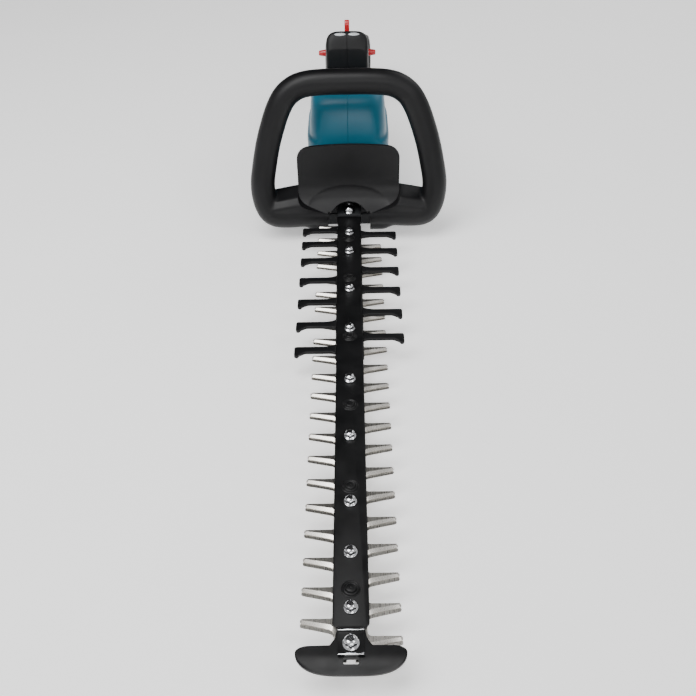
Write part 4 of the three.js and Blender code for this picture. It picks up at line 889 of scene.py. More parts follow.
@dataclass
class CuttingBar(SubAssembly):
    """Guide bar, comb, fasteners and the guard over the tip."""

    half_width: float = 14.8
    level: float = 2.45
    thickness: float = 2.6
    front_run: float = -4.5
    tongue_half_width: float = 9.5
    bracket_front: float = -32.9
    bracket_rear: float = -11.0
    tongue_run: float = -33.0
    rear_run: float = 630.7
    boss_runs: tuple[float, ...] = (28.0, 136.0, 242.5, 351.0, 461.5, 549.0)
    boss_radius: float = 5.8
    arm_left: tuple[float, ...] = (328.0, 371.5, 414.0, 457.0, 499.0, 536.0, 567.5)
    arm_right: tuple[float, ...] = (349.5, 393.5, 436.5, 477.5, 519.0, 557.0)
    arm_width: float = 8.6
    arm_reach: float = 60.3
    arm_rise: float = 1.1
    hook_width: float = 5.4
    hook_length: float = 6.4
    nut_apothem: float = 4.4
    nut_crown_radius: float = 5.15

    @property
    def top(self) -> float:
        """Level of the top of the bar."""
        return self.level + self.thickness

    def guide_bar(self) -> None:
        """The long pressed strip, with round bosses and rolled edges."""
        w, t, step = self.half_width, self.tongue_half_width, self.front_run - 2
        corners = [(-t, self.tongue_run), (t, self.tongue_run), (t, step), (w - 2.5, step), (w, step + 3.5),
                   (w, self.rear_run), (-w, self.rear_run), (-w, step + 3.5), (-w + 2.5, step), (-t, step)]
        patches = [plate(rounded(corners, 1.2), self.level, self.top, 0.7, steps=4)]
        r, z = self.boss_radius, self.top
        steps = [(2.4, -0.3), (2.4, 0.1), (2.0, 0.55), (1.5, 0.7), (1.1, 0.55), (0.9, 0.4), (0.6, 0.9),
                 (0.1, 1.35), (-0.5, 1.5), (-1.0, 1.3), (-1.3, 1.1), (-1.6, 1.7), (-2.1, 2.3), (-2.8, 2.55),
                 (-4.4, 2.6), (-4.8, 1.9), (0.3 - r, 1.7)]
        profile = [(r + wider, z + higher) for wider, higher in steps]
        patches += [turned(profile, (0, run, 0)) for run in self.boss_runs]
        self.dress(make_piece("guide_bar_pressed", patches), "body", Finish.black_coated_steel, "guide_bar")

    def arm(self, run: float, side: int) -> Patch:
        """One blunt arm of the comb: a bar that ends in a rounded hook turned towards the tip.

        Args:
            run: run of the arm's middle.
            side: -1 for the left, 1 for the right.

        Returns:
            A closed patch.
        """
        reach, start = self.arm_reach, self.half_width + 0.1
        hook, end = reach - self.hook_width, -self.hook_length
        front, rear = run - self.arm_width / 2, run + self.arm_width / 2
        corners = [(start, front - 1.6), (start + 5, front + 0.4), (hook - 6.5, front + 0.4),
                   (hook, front - 3.6), (hook + 1, front + end), (reach - 1.5, front + end),
                   (reach, front + end + 2), (reach, rear - 0.7), (reach - 1.5, rear + 0.8),
                   (start + 11, rear + 0.8), (start + 4, rear + 2.4), (start, rear + 5)]
        outline = rounded([(side * x, y) for x, y in corners][::side], 1.8, 6)
        return plate(outline, self.level, self.top + self.arm_rise, 0.7, steps=4)

    def comb(self) -> None:
        """The web under the bar and its arms."""
        arms = [self.arm(run, -1) for run in self.arm_left] + [self.arm(run, 1) for run in self.arm_right]
        half, front, rear = self.half_width + 0.8, self.arm_left[0] - 14, self.arm_left[-1] + 14
        web = block((-half, front, self.level), (half, rear, self.level + 1.0), 0.2)
        self.dress(make_piece("guard_comb_moulded", [*arms, web]), "body", Finish.black_nylon, "guard_comb")

    def nut(self, node: str, scale: float) -> Patch:
        """A hexagonal flange nut with a domed crown.

        The wall is the lesser of a hexagon, apothem / cos of the angle from the nearest flat, and a
        dome that shrinks as a quarter ellipse towards the crown. The flange flares below it.

        Args:
            node: the CAD node, whose box gives the nut its place and height.
            scale: how much wider it is than a nut along the bar.

        Returns:
            A closed patch.
        """
        low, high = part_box(node)
        x, run, _ = middle_of(node)
        base = low[2] / MM + UNDERSIDE_LEVEL
        height = (high[2] - low[2]) / MM
        angle = np.arange(72) * FULL_TURN / 72
        flat = self.nut_apothem * scale / np.cos((angle + math.pi / 6) % (math.pi / 3) - math.pi / 6)
        shares = [0, 0.12, 0.16, 0.2, 0.3, 0.34, 0.45, 0.6, 0.72, 0.8, 0.87, 0.93, 0.97, 1.0]
        rise = np.array(shares) * height
        share = np.clip(rise / height - 0.5, 0, 1) / 0.56
        dome = self.nut_crown_radius * scale * np.sqrt(np.clip(1 - share**2, 0.0, 1))
        flange = np.array([5.8, 6.0, 5.9, 5.5, 4.9] + [0] * 9) * scale
        radius = np.maximum(np.minimum(flat[None], dome[:, None]), flange[:, None])
        made = np.stack([x + radius * np.cos(angle), run + radius * np.sin(angle),
                         np.broadcast_to(base + rise[:, None], radius.shape)], -1)
        return rings(made)

    def bolt(self, node: str) -> Patch:
        """A button head under the blades, its sleeve and its threaded end, as one turned profile.

        Args:
            node: the CAD node, whose box gives the bolt its place and length.

        Returns:
            A closed patch.
        """
        low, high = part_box(node)
        x, run, _ = middle_of(node)
        base, top = low[2] / MM + UNDERSIDE_LEVEL, high[2] / MM + UNDERSIDE_LEVEL
        profile = [(1.6, base + 1.2), (1.7, base + 0.1), (2.2, base), (3.6, base + 0.05), (4.8, base + 0.5),
                   (5.4, base + 1.2), (5.6, base + 2.0), (5.6, base + 2.6), (3.0, base + 2.6),
                   (3.0, self.top - 0.3), (2.5, self.top - 0.3), (2.5, top - 0.5), (2.0, top)]
        return turned(profile, (x, run, 0))

    def fasteners(self) -> None:
        """Every nut and bolt along the bar."""
        nuts = {"tip_nut": 1.12, "root_nut_1": 1.2, "root_nut_2": 1.2}
        nuts |= {f"bar_{k:02d}_nut": 1.0 for k in range(1, 10)}
        for node, scale in nuts.items():
            piece = make_piece(f"{node}_plated", [self.nut(node, scale)], sharp=20)
            self.dress(piece, "body", Finish.zinc_plated_steel, node)
        for node in ["tip_bolt"] + [f"bar_{k:02d}_bolt" for k in range(1, 10)]:
            piece = make_piece(f"{node}_plated", [self.bolt(node)])
            self.dress(piece, "body", Finish.zinc_plated_steel, node)

    def tip_guard(self) -> None:
        """The crescent of sheet steel over the tip, curved down in front, with its folded bracket.

        For each x the sheet runs from a front edge, -45.9 + 16.5 (1 - sqrt(1 - |x/43|^3.5)), to a rear
        edge that steps back beside the bar. Ahead of run -30 it drops by the square of the distance.
        """
        half, thick, level = 43.0, 1.8, self.top + CLEARANCE
        x = half * np.sin(np.linspace(-1, 1, 121) * math.pi / 2)
        share = np.abs(x) / half
        front = -45.9 + 16.5 * (1 - np.sqrt(1 - np.minimum(share, 1) ** 3.5))
        rear = np.interp(np.abs(x), [0, 10.9, 11.4, 13.0, 16.5, 43], [-6.9, -6.9, -13.2, -18, -23.0, -23.5])
        rear = rear - 5.5 * (1 - np.sqrt(np.clip(1 - (np.clip(np.abs(x) - 32, 0, 11) / 11) ** 2.2, 0, 1)))
        rear = np.maximum(rear, front + 0.4)
        turn = np.linspace(0, 1, 17)
        run = front[:, None] + (rear - front)[:, None] * turn
        drop = 0.014 * np.clip(-30 - run, 0, None) ** 2
        lip = 0.45 * np.exp(-((run - front[:, None]) / 1.2) ** 2)
        across = np.broadcast_to(x[:, None], run.shape)
        upper = np.stack([across, run, level + thick - drop + lip], -1)
        lower = np.stack([across, run, level - drop], -1)
        guard = make_piece("tip_guard_sheet", [rings(np.concatenate([upper, lower[:, ::-1]], 1))])
        slot = plate(rounded([(-5.8, -38.2), (5.8, -38.2), (5.8, -33.2), (-5.8, -33.2)], 0.8),
                     level - 9, level + 6)
        combine(guard, [slot])
        self.dress(guard, "body", Finish.black_coated_steel, "tip_guard")
        z = level + thick + CLEARANCE
        f, r = self.bracket_front, self.bracket_rear
        fold = rounded([(f, z), (r, z), (r, z + 3.5), (r - 1.3, z + 3.5), (r - 1.4, z + 1.4),
                        (f + 1.4, z + 1.4), (f + 1.3, z + 3.5), (f, z + 3.5)], 0.6)
        bracket = make_piece("tip_bracket_folded", [plate(fold, -10, 10, 0.35, Plane.SIDE)])
        self.dress(bracket, "body", Finish.black_coated_steel, "tip_bracket")
        # bare bright steel strips along the lips' top edges, which also paint in the highlight that the
        # rolled edges catch
        edges = [block((-10.2, run, z + 2.7), (10.2, run + 1.8, z + 3.7), 0.3)
                 for run in (f - 0.1, r - 1.6)]
        self.dress(make_piece("tip_bracket_bare_edges_and_glints", edges), "body", Finish.zinc_plated_steel)

    def build(self) -> None:
        """Build the bar and everything fixed to it."""
        self.guide_bar()
        self.comb()
        self.fasteners()
        self.tip_guard()


# ------------------------------------------------------------------ front handle
@dataclass
class FrontHandle(SubAssembly):
    """The leaning loop, the saddle that joins its ends, the chip shield and the switch bar."""

    base_run: float = 606.0
    base_level: float = 16.0
    lean: float = math.radians(16)
    half_width: float = 112.5
    rise: float = 161.0
    tube_half_width: float = 16.0
    tube_half_depth: float = 16.5
    arch_half_width: float = 28.0
    arch_top: float = 26.5
    arch_rise: float = 19.0
    shield_run: float = 618.0
    shield_half_width: float = 66.5
    shield_top: float = 101.0
    shield_thickness: float = 3.4
    switch_half_length: float = 46.0

    def in_plane(self, across: Array, up: Array, back: Array) -> Array:
        """Place points on the leaning plane of the loop.

        Args:
            across: distances to the right.
            up: distances up the plane from its foot.
            back: distances behind it, square to it.

        Returns:
            Array (..., 3) in the maker's frame.
        """
        run = self.base_run + up * math.sin(self.lean) + back * math.cos(self.lean)
        level = self.base_level + up * math.cos(self.lean) - back * math.sin(self.lean)
        return np.stack(np.broadcast_arrays(across, run, level), -1)

    def tube(self) -> Patch:
        """The loop: an ellipse carried round the centre line, square to it at every station.

        Returns:
            A closed ring of 288 stations.
        """
        right = np.array([(0, 1), (0.24, 0.999), (0.445, 0.988), (0.585, 0.957), (0.7, 0.893),
                          (0.784, 0.794), (0.853, 0.668), (0.918, 0.519), (0.971, 0.348), (1, 0.217),
                          (0.993, 0.106), (0.955, 0.012), (0.885, -0.045), (0.74, -0.06), (0.4, -0.05),
                          (0, -0.05)])
        line = np.concatenate([right, (right[1:-1] * (-1, 1))[::-1]]) * (self.half_width, self.rise)
        path = even_steps(catmull(line, 24, closed=True), 288)
        along = np.roll(path, -1, 0) - np.roll(path, 1, 0)
        along /= np.linalg.norm(along, axis=1, keepdims=True)
        out = np.stack([-along[:, 1], along[:, 0]], 1)
        angle = np.arange(56) * FULL_TURN / 56
        reach, depth = self.tube_half_width * np.cos(angle), self.tube_half_depth * np.sin(angle)
        across = path[:, :1] + out[:, :1] * reach
        up = path[:, 1:] + out[:, 1:] * reach
        return rings(self.in_plane(across, up, depth[None]), closed=True)

    def saddle(self) -> Patch:
        """The block that joins the ends: one section carried across, lower and wider in the middle.

        Returns:
            A closed patch.
        """
        share = np.linspace(-1, 1, 65)
        mag = np.abs(share)
        low = np.interp(mag, [0, 0.4, 0.52, 0.86, 1], [-12.5, -12.5, -6.5, -3.5, 4])
        high = np.interp(mag, [0, 0.6, 0.86, 1], [36, 36, 30, 20])
        front = 590 + np.interp(mag, [0, 0.86, 1], [0, 0, 6])
        rear = np.full_like(share, 628.0)
        run = np.stack([front, front + 8, rear - 4, rear, rear, rear - 5, front + 6, front], 1)
        level = np.stack([high - 8, high, high + 6, high + 2, low + 4, low, low, low + 6], 1)
        x = np.broadcast_to((share * (self.half_width + 2))[:, None], run.shape)
        return rings(np.stack([x, run, level], -1))

    def arch(self, grow: float, front: float, rear: float) -> Patch:
        """The opening over the blade: straight sides under half an ellipse.

        Args:
            grow: margin round it.
            front: run where it starts.
            rear: run where it ends.

        Returns:
            A closed patch.
        """
        w, top = self.arch_half_width + grow, self.arch_top + grow
        crown = arc((0, 0), 1, 0, 180, 33) * (w, self.arch_rise) + (0, top - self.arch_rise)
        return plate(np.concatenate([[(-w, -60), (w, -60)], crown]), front, rear, plane=Plane.FRONT)

    def loop(self) -> None:
        """Loop and saddle, melted together as the moulding is, then cut for the blade and shield."""
        handle = make_piece("front_handle_moulding", [self.tube(), self.saddle()])
        fuse(handle, voxel=1.6, rounds=7)
        back = self.shield_run + self.shield_thickness + CLEARANCE
        seat = plate(self.shield_outline(CLEARANCE), 550, back, plane=Plane.FRONT)
        # seen from the side, the seat ends where the apron sweeps forward over the saddle
        sweep = [(540, 120), (540, 13.3), (588.7, 13.3), (612.7, 29.7), (621.7, 40.7), (621.7, 120)][::-1]
        recess = make_piece("recess", [seat])
        combine(recess, [plate(sweep, -70, 70, plane=Plane.SIDE)], Cut.SHARED, FUSED_SHARP)
        combine(handle, [self.arch(0, 550, 630.7)])
        combine_object(handle, recess, Cut.AWAY, FUSED_SHARP)
        combine(handle, [self.switch_room(0.7, 3.0)])
        self.dress(handle, "body", Finish.black_nylon, "front_handle_front", "front_handle_rear")

    def shield_outline(self, grow: float) -> Array:
        """Front view of the shield: a crowned top with round corners and a foot like half an ellipse.

        The foot is a cubic and the corner a quadratic Bezier curve, and the crown falls as x squared.

        Args:
            grow: margin round it.

        Returns:
            Anticlockwise points, from the right toe.
        """
        w, top = self.shield_half_width + grow, self.shield_top + grow
        toe, apron = 25 + grow, 17 - grow
        t = np.linspace(0, 1, 17)[:, None]
        foot = ((1 - t) ** 3 * (toe, apron - 1) + 3 * t * (1 - t) ** 2 * (w * 0.72, apron + 5)
                + 3 * t**2 * (1 - t) * (w, apron + 7) + t**3 * (w, 38))
        corner = ((1 - t) ** 2 * (w - 1.5, top - 17) + 2 * t * (1 - t) * (w - 3, top - 5)
                  + t**2 * (w - 15, top - 3.2))
        x = np.linspace(w - 18, 0, 12)
        crown = np.stack([x, top - 3.2 * (x / (w - 15)) ** 2], 1)
        right = np.concatenate([[(toe, apron - 8)], foot, corner, crown])
        left = right[:-1] * (-1, 1)
        return np.concatenate([right, left[::-1]])

    def chip_shield(self) -> None:
        """The wall over the blade's root with its apron.

        The front face is a height field over the front view: an upright wall that sweeps forward by 29 mm
        with the power 2.6 of the way down, and is dished by an ellipse of half width 55.
        """
        w = self.shield_half_width
        u = np.sin(np.linspace(-1, 1, 129) * math.pi / 2)
        x = u * w
        mag = np.abs(x)
        corner = np.clip((mag - 49) / (w - 49), 0, 1)
        top = self.shield_top - 2.6 * (mag / 50) ** 2 - 15.5 * (1 - np.sqrt(np.clip(1 - corner**2.3, 0, 1)))
        foot = self.shield_outline(0)[1:18]
        arch = self.arch_rise * np.sqrt(np.clip(1 - (x / self.arch_half_width) ** 2, 0, 1))
        arch = np.maximum(self.arch_top - self.arch_rise + arch, 18.5)
        bottom = np.where(mag < self.arch_half_width, arch, np.interp(mag, foot[:, 0], foot[:, 1]))
        v = np.linspace(0, 1, 65)
        z = bottom[:, None] + (top - bottom)[:, None] * v
        across = np.broadcast_to(x[:, None], z.shape)
        sweep = np.clip((62 - z) / 45, 0, 1)
        run = self.shield_run - 29 * sweep**2.6
        dish = np.clip(1 - (across / 55) ** 2 - ((z - 17) / 27) ** 2, 0, 1)
        run = run + 3.2 * np.sqrt(dish) * np.clip((z - 17) / 12, 0, 1)
        front = np.stack([across, run, z], -1)
        wall = make_piece("chip_shield_wall", [self.sheet(front)], sharp=50)
        self.dress(wall, "body", Finish.black_nylon, "chip_shield")

    def sheet(self, front: Array) -> Patch:
        """Give a grid of points a back, the shield's thickness behind it along its normals.

        Args:
            front: array (columns, rows, 3).

        Returns:
            A closed patch.
        """
        normal = np.cross(np.gradient(front, axis=1), np.gradient(front, axis=0))
        normal /= np.linalg.norm(normal, axis=-1, keepdims=True) + 1e-9
        normal *= np.sign(normal[..., 1].mean())
        back = front + normal * self.shield_thickness
        return rings(np.concatenate([front, back[:, ::-1]], 1))

    def switch_room(self, grow: float, travel: float = 0.0) -> Patch:
        """The block of space that holds the switch bar in the rear underside of the crown.

        Args:
            grow: margin on every side.
            travel: how much deeper the space is than the bar.

        Returns:
            The block.
        """
        up = self.rise - self.tube_half_width * 0.45
        inner, outer = 4 - grow - travel, self.tube_half_depth + 2 + grow
        corners = np.array([(up - 4 - grow, inner), (up + 11 + grow + travel, inner),
                            (up + 9 + grow, outer), (up - 2 - grow, outer)])
        placed = self.in_plane(np.zeros(4), corners[:, 0], corners[:, 1])[:, 1:]
        half = self.switch_half_length + grow
        corner, edge = (1.0, 0.0) if grow else (2.0, 1.6)
        return plate(rounded(placed[::-1], corner), -half, half, edge, Plane.SIDE)

    def build(self) -> None:
        """Build the handle and the shield."""
        self.loop()
        self.chip_shield()
        bar = make_piece("front_switch_bar_moulded", [self.switch_room(0)])
        self.dress(bar, "front_switch_bar", Finish.black_nylon, "front_switch_bar")


# ------------------------------------------------------------------ motor housing and gear case
@dataclass
class MotorHousing(SubAssembly):
    """The teal housing over the motor, in two halves, and the cast case under it."""

    front_run: float = 655.0
    rear_run: float = 788.0
    half_width: float = 51.0
    vent_count: int = 7
    vent_pitch: float = 8.0
    vent_width: float = 3.0
    vent_level: float = 92.0
    vent_height: float = 26.0
    case_half_width: float = 46.0
    case_front: float = 631.0
    case_rear: float = 742.0
    case_low: float = -7.85
    case_top: float = 46.0
    nose_front: float = 599.0
    stud_runs: tuple[float, ...] = (607.0, 622.0)
    screw_runs: tuple[float, ...] = (646.0, 727.0, 686.0)

    def housing(self) -> None:
        """The housing: superellipses in plan, carried up from the case and drawn in at the crown.

        Each row is the level, how far the front and the rear draw in, how far the sides stand out, and
        the squareness.
        """
        rows = np.array([(46.3, -3, 0, 4, 5.5), (70, -2.2, 0, 4, 5.3), (82, -0.8, 0, 4, 5.2),
                         (88, 0.2, 0, 0.5, 5.1), (98, 3, 0, 0, 5), (112, 8.2, 0, -0.8, 4.6),
                         (124, 14.5, 2, -2, 4.2), (132, 22, 6, -4, 3.8), (137, 33, 14, -7, 3.4),
                         (140, 52, 24, -12, 3)])
        level, back, forward, wider, power = catmull(rows, 7).T[:, :, None]
        ring = squircle(120, power)
        front, rear = self.front_run + back, self.rear_run - forward
        x = (self.half_width + wider) * ring[..., 0]
        run = (front + rear) / 2 + (rear - front) / 2 * ring[..., 1]
        points = drawn_in(np.stack([x, run, np.broadcast_to(level, x.shape)], -1), both=False)
        shell = make_piece("motor_housing_moulding", [rings(points)])
        vents = []
        low, high = self.vent_level, self.vent_level + self.vent_height
        for k in range(self.vent_count):
            start = self.rear_run - 24 - (self.vent_count - k) * self.vent_pitch
            stop = start + self.vent_width
            corners = rounded([(start, low), (stop, low), (stop, high), (start, high)], 1.3)
            vents += [plate(corners, side * 62 - 16, side * 62 + 16, plane=Plane.SIDE) for side in (-1, 1)]
        combine(shell, [weld(vents)])
        cut_seam(shell)
        self.dress(shell, "body", Finish.teal_nylon, "motor_housing_left", "motor_housing_right")

    def case(self) -> None:
        """The cast gear case with its nose over the bar, and the cover under it."""
        front, nose = self.case_front, self.nose_front
        outline = rounded(chamfered(self.case_half_width, front, self.case_rear, 10, 10), 5, 6)
        nose_outline = rounded([(-16, nose), (16, nose), (16, front + 6), (-16, front + 6)], 2.5, 5)
        upper = [plate(outline, self.case_low, self.case_top, 2.4, steps=5),
                 plate(nose_outline, 5.35, 8.95, 0.8)]
        self.dress(make_piece("gear_case_cast", upper), "body", Finish.cast_magnesium, "gear_case")
        side = [(nose, -5.85), (nose, -2.45), (634.5, -2.45), (634.5, -13.15), (621, -13.15)][::-1]
        tongue = plate(rounded(side, 0.8), -16, 16, 0.6, Plane.SIDE)
        stud = [(3, -3), (3, 4.7), (2.5, 4.7), (2.5, 11.5), (2.1, 11.95)]
        studs = [turned(stud, (0, run, 0)) for run in self.stud_runs]
        lower = [plate(outline, UNDERSIDE_LEVEL, self.case_low - CLEARANCE, 2.4, steps=5), tongue, *studs]
        cover = make_piece("gear_case_cover_cast", lower)
        self.dress(cover, "body", Finish.cast_magnesium, "gear_case_cover")
        head = [(1.4, -24.6), (1.5, -25.6), (3.2, -25.9), (3.6, -25.4), (3.6, -23)]
        heads = [turned(head, (x, run, 0), segments=28) for run in self.screw_runs for x in (-38, 38)]
        self.dress(make_piece("cover_screws", heads), "body", Finish.zinc_plated_steel)

    def build(self) -> None:
        """Build the housing and the case."""
        self.housing()
        self.case()


# ------------------------------------------------------------------ rear handle
@dataclass
class RearHandle(SubAssembly):
    """The closed rear handle with its head, and the controls in it."""

    head_run: float = 789.0
    head_half_width: float = 29.5
    grip_half_width: float = 18.0
    neck_half_width: float = 29.0
    battery_run: float = 1004.0
    battery_half_width: float = 37.5
    battery_top: float = 34.0
    rail_half_width: float = 24.0
    rail_height: float = 9.0
    rear_run: float = 1120.0
    lever_run: float = 849.0
    lever_low: float = 140.0
    lever_top: float = 177.0
    trigger_run: float = 866.0
    trigger_pivot_level: float = 116.0
    knob_run: float = 822.0
    knob_level: float = 141.0
    panel_tilt: float = math.radians(31.7)
    window_place: tuple[float, float, float] = (9.6, 804.7, 172.6)
    window_half_length: float = 8.0
    window_half_width: float = 2.5

    def loft(self, rows: Sequence[tuple[float, ...]]) -> Patch:
        """Carry a superellipse along the run.

        Each row is the run, the underside, the top, the half width, the squareness and the lean; the
        ring's points move along the run by lean times their height above its middle.

        Args:
            rows: the stations, in order along the run.

        Returns:
            A closed patch.
        """
        run, low, high, half, power, lean = catmull(np.array(rows, float), 6).T[:, :, None]
        ring = squircle(72, power)
        rise = (high - low) / 2 * ring[..., 1]
        points = np.stack([half * ring[..., 0], run + lean * rise, (low + high) / 2 + rise], -1)
        return rings(drawn_in(points))

    def body(self) -> bpy.types.Object:
        """The four lofts that make the handle, joined and cut for what sits in it.

        Returns:
            The handle, with its parting line.
        """
        h, w, b = self.head_run, self.head_half_width, self.battery_run
        g, t, k = self.grip_half_width, self.trigger_run, self.knob_run
        grip = [(h, 116, 158, w - 1.5, 5, 0.15), (h + 6, 112, 172, w, 5, 0.2),
                (h + 14, 106, 176.5, w + 0.5, 4.6, 0.15), (k + 2, 100, 168.5, w, 4.4, 0),
                (k + 22, 98, 161, w - 4, 4, -0.1), (self.lever_run + 14, 104, 154, g + 2, 3.4, -0.2),
                (t + 29, 102, 142, g, 2.8, -0.3), (t + 74, 87, 126, g - 0.5, 2.6, -0.3),
                (b - 19, 70, 110, g, 2.8, -0.3), (b + 14, 50, 99, g + 6, 3.4, -0.2),
                (b + 36, 40, 92, g + 12, 4.2, 0), (b + 56, 40, 84, g + 14, 4.6, 0)]
        n = self.neck_half_width
        neck = [(h, 2, 112, n, 5, 0), (h + 11, -6, 112, n, 4.6, 0), (h + 26, -14, 108, n, 4.2, 0),
                (h + 46, -18, 100, n - 1, 4, 0), (h + 63, -20, 57, n - 3, 4, 0)]
        foot = [(743, -22, 16, n + 5, 5, 0), (h + 46, -22, 16, n + 1, 5, 0), (b - 14, -22, 14, n - 1, 5, 0),
                (b - 1, -20, 30, n + 1, 5, 0)]
        top, c = self.battery_top, self.battery_half_width
        cradle = [(b - 26, top - 10, top + 22, c - 5.5, 5, 0), (b - 12, top + 1, top + 34, c - 0.5, 5.5, 0),
                  (b + 46, top + 1, top + 42, c + 0.5, 5.5, 0),
                  (self.rear_run - 12, top + 1, top + 30, c - 0.5, 5.5, 0)]
        lofts = [self.loft(rows) for rows in (grip, neck, foot, cradle)]
        handle = make_piece("rear_handle_moulding", lofts)
        fuse(handle, voxel=1.5, rounds=2)
        far, gap, rail = 1300, CLEARANCE, self.rail_half_width + CLEARANCE
        housing = block((-90, 700, 36), (90, h - 0.5, 240))
        pack = block((-c - gap, b - gap, -60), (c + gap, far, top + gap))
        rails = block((-rail, b + 18 - gap, top), (rail, far, top + self.rail_height + gap))
        bore = turned([(5.2, -60), (5.2, 60)], (0, k, self.knob_level), axis=Axis.X)
        windows = [self.window(side, gap, -3.0, 4.0) for side in (-1, 1)]
        rooms = [housing, pack, self.trigger(2.9, 8.4, 0), self.lever(3.9, 3.9, 0), bore, *windows]
        combine(handle, [weld(rooms), rails], sharp=FUSED_SHARP)
        cut_seam(handle)
        return handle

    def trigger(self, grow: float, half: float, edge: float) -> Patch:
        """The side outline of the trigger, grown by a margin and thickened across.

        Args:
            grow: margin round the outline.
            half: half of the thickness.
            edge: radius of the edges, or 0 for a room.

        Returns:
            A closed patch.
        """
        t, pivot, rear = self.trigger_run, self.trigger_pivot_level, self.trigger_run + 42 + grow * 1.8
        corners = [(t - grow, pivot - 6 - grow), (t + 16, 93 - grow), (t + 30, 88 - grow),
                   (rear, 90 - grow), (rear, 108 + grow * 2.5), (t - grow, pivot + 6 + grow)]
        return plate(rounded(corners, 4 if edge else 1, 6), -half, half, edge, Plane.SIDE, 5)

    def lever(self, grow: float, half: float, edge: float) -> Patch:
        """The side outline of the lock-off lever, grown by a margin and thickened across.

        Args:
            grow: margin round the outline.
            half: half of the thickness.
            edge: radius of the edges, or 0 for a room.

        Returns:
            A closed patch.
        """
        r, low, top = self.lever_run, self.lever_low - grow, self.lever_top + grow
        corners = [(r - 8 - grow, low), (r + 8 + grow, low), (r + 10 + grow, 156), (r + 8 + grow, top - 3),
                   (r + 4, top), (r - 1, top), (r - 4 - grow, top - 4), (r - 6 - grow, 158)]
        return plate(rounded(corners, 3 if edge else 1, 6), -half, half, edge, Plane.SIDE, 5)

    def window(self, side: int, grow: float, low: float, high: float) -> Patch:
        """An oval with a softly domed face, tilted to lie in the sloping panel of the head.

        Args:
            side: -1 for the left, 1 for the right.
            grow: margin round the oval.
            low: height of its back over the panel.
            high: height of its face at the rim.

        Returns:
            A closed patch.
        """
        angle = np.arange(48) * FULL_TURN / 48
        x, run, level = self.window_place
        steps = [(0.97, low), (1.0, low + 0.3), (1.0, high - 0.6), (0.93, high - 0.2), (0.8, high),
                 (0.5, high + 0.25), (0.2, high + 0.35), (0.02, high + 0.37)]
        share, height = np.array(steps).T[:, :, None]
        x = side * x + (self.window_half_length + grow) * share * np.cos(angle)
        flat = (self.window_half_width + grow) * share * np.sin(angle)
        run = run + flat * math.cos(self.panel_tilt) - height * math.sin(self.panel_tilt)
        level = level + flat * math.sin(self.panel_tilt) + height * math.cos(self.panel_tilt)
        return rings(np.stack(np.broadcast_arrays(x, run, level), -1))

    def knobs(self) -> Patch:
        """The two-ended selector, turned: a waist inside the head and a tapered knob at each end.

        Returns:
            A closed patch.
        """
        half = [(0.4, 40.5), (2.6, 40.45), (3.25, 40.0), (3.6, 39.2), (4.2, 35.5), (4.75, 31.5),
                (4.8, 30.5), (4.8, 23.6), (4.4, 23.2), (2.4, 23.0)]
        profile = [(radius, -x) for radius, x in half] + half[::-1]
        return turned(profile, (0, self.knob_run, self.knob_level), axis=Axis.X)

    def build(self) -> None:
        """Build the handle and its controls."""
        self.dress(self.body(), "body", Finish.black_nylon, "rear_handle_left", "rear_handle_right")
        trigger = make_piece("trigger_moulded", [self.trigger(0, 8, 1.8)])
        self.dress(trigger, "trigger", Finish.black_nylon, "trigger")
        lever = make_piece("lock_off_lever_moulded", [self.lever(0, 3.5, 1.1)])
        self.dress(lever, "lock_off_lever", Finish.red_nylon, "lock_off_lever")
        knobs = make_piece("reverse_selector_moulded", [self.knobs()])
        self.dress(knobs, "reverse_selector", Finish.red_nylon, "reverse_selector")
        for side, name in ((-1, "left"), (1, "right")):
            lens = make_piece(f"indicator_window_{name}", [self.window(side, 0, -1.7, 1.7)])
            self.dress(lens, "body", Finish.clear_lens, f"indicator_lens_{name}")


@dataclass
class Battery(SubAssembly):
    """The slide-on battery with its release."""

    half_width: float = 37.5
    front_run: float = 1004.0
    rear_run: float = 1120.0
    top: float = 34.0
    rail_half_width: float = 24.0
    rail_height: float = 9.0
    rib_count: int = 6

    def build(self) -> None:
        """Build the pack, with grip ribs down its sides, and the release button."""
        w, f, r = self.half_width, self.front_run, self.rear_run
        outline = rounded(chamfered(w, f, r, 6, 8), 5, 7)
        shell = plate(outline, UNDERSIDE_LEVEL, self.top, 3.0, steps=6)
        pack = make_piece("battery_pack_moulding", [shell])
        rail = self.rail_half_width
        rails = block((-rail, f + 18, self.top - 2), (rail, r - 14, self.top + self.rail_height), 1.2)
        combine(pack, [rails], Cut.JOINED)
        bay = block((-15.5, r - 9, 8), (15.5, r + 5, 24))
        ribs = []
        for x in (-w - 4, w + 4):
            for start in r - 60 + 7 * np.arange(self.rib_count):
                ribs.append(block((x - 5, start, -12), (x + 5, start + 3, 16), 0.8))
        split = [block((x - 2.35, f - 4, 3.4), (x + 2.35, r + 4, 4.2)) for x in (-w - 1.65, w + 1.65)]
        combine(pack, [bay, weld(ribs), *split])
        self.dress(pack, "battery", Finish.black_nylon, "battery_pack")
        button = make_piece("battery_release_moulded", [block((-15, r - 5, 8.4), (15, r - 0.5, 23.6), 1.2)])
        self.dress(button, "battery_release", Finish.red_nylon, "battery_release")


# ------------------------------------------------------------------ studio
@dataclass(frozen=True)
class Panel:
    """A soft rectangular light: where it hangs and what it faces, its size in metres and its power."""

    name: str
    place: tuple[float, float, float]
    target: tuple[float, float, float]
    size: tuple[float, float]
    power: float

    def hang(self) -> None:
        """Add the light, turned to face its target."""
        light = bpy.data.lights.new(self.name, "AREA")
        light.shape, light.energy = "RECTANGLE", self.power
        light.size, light.size_y = self.size
        obj = bpy.data.objects.new(self.name, light)
        bpy.context.scene.collection.objects.link(obj)
        obj.location = self.place
        way = Vector(self.target) - Vector(self.place)
        obj.rotation_euler = way.to_track_quat("-Z", "Y").to_euler()


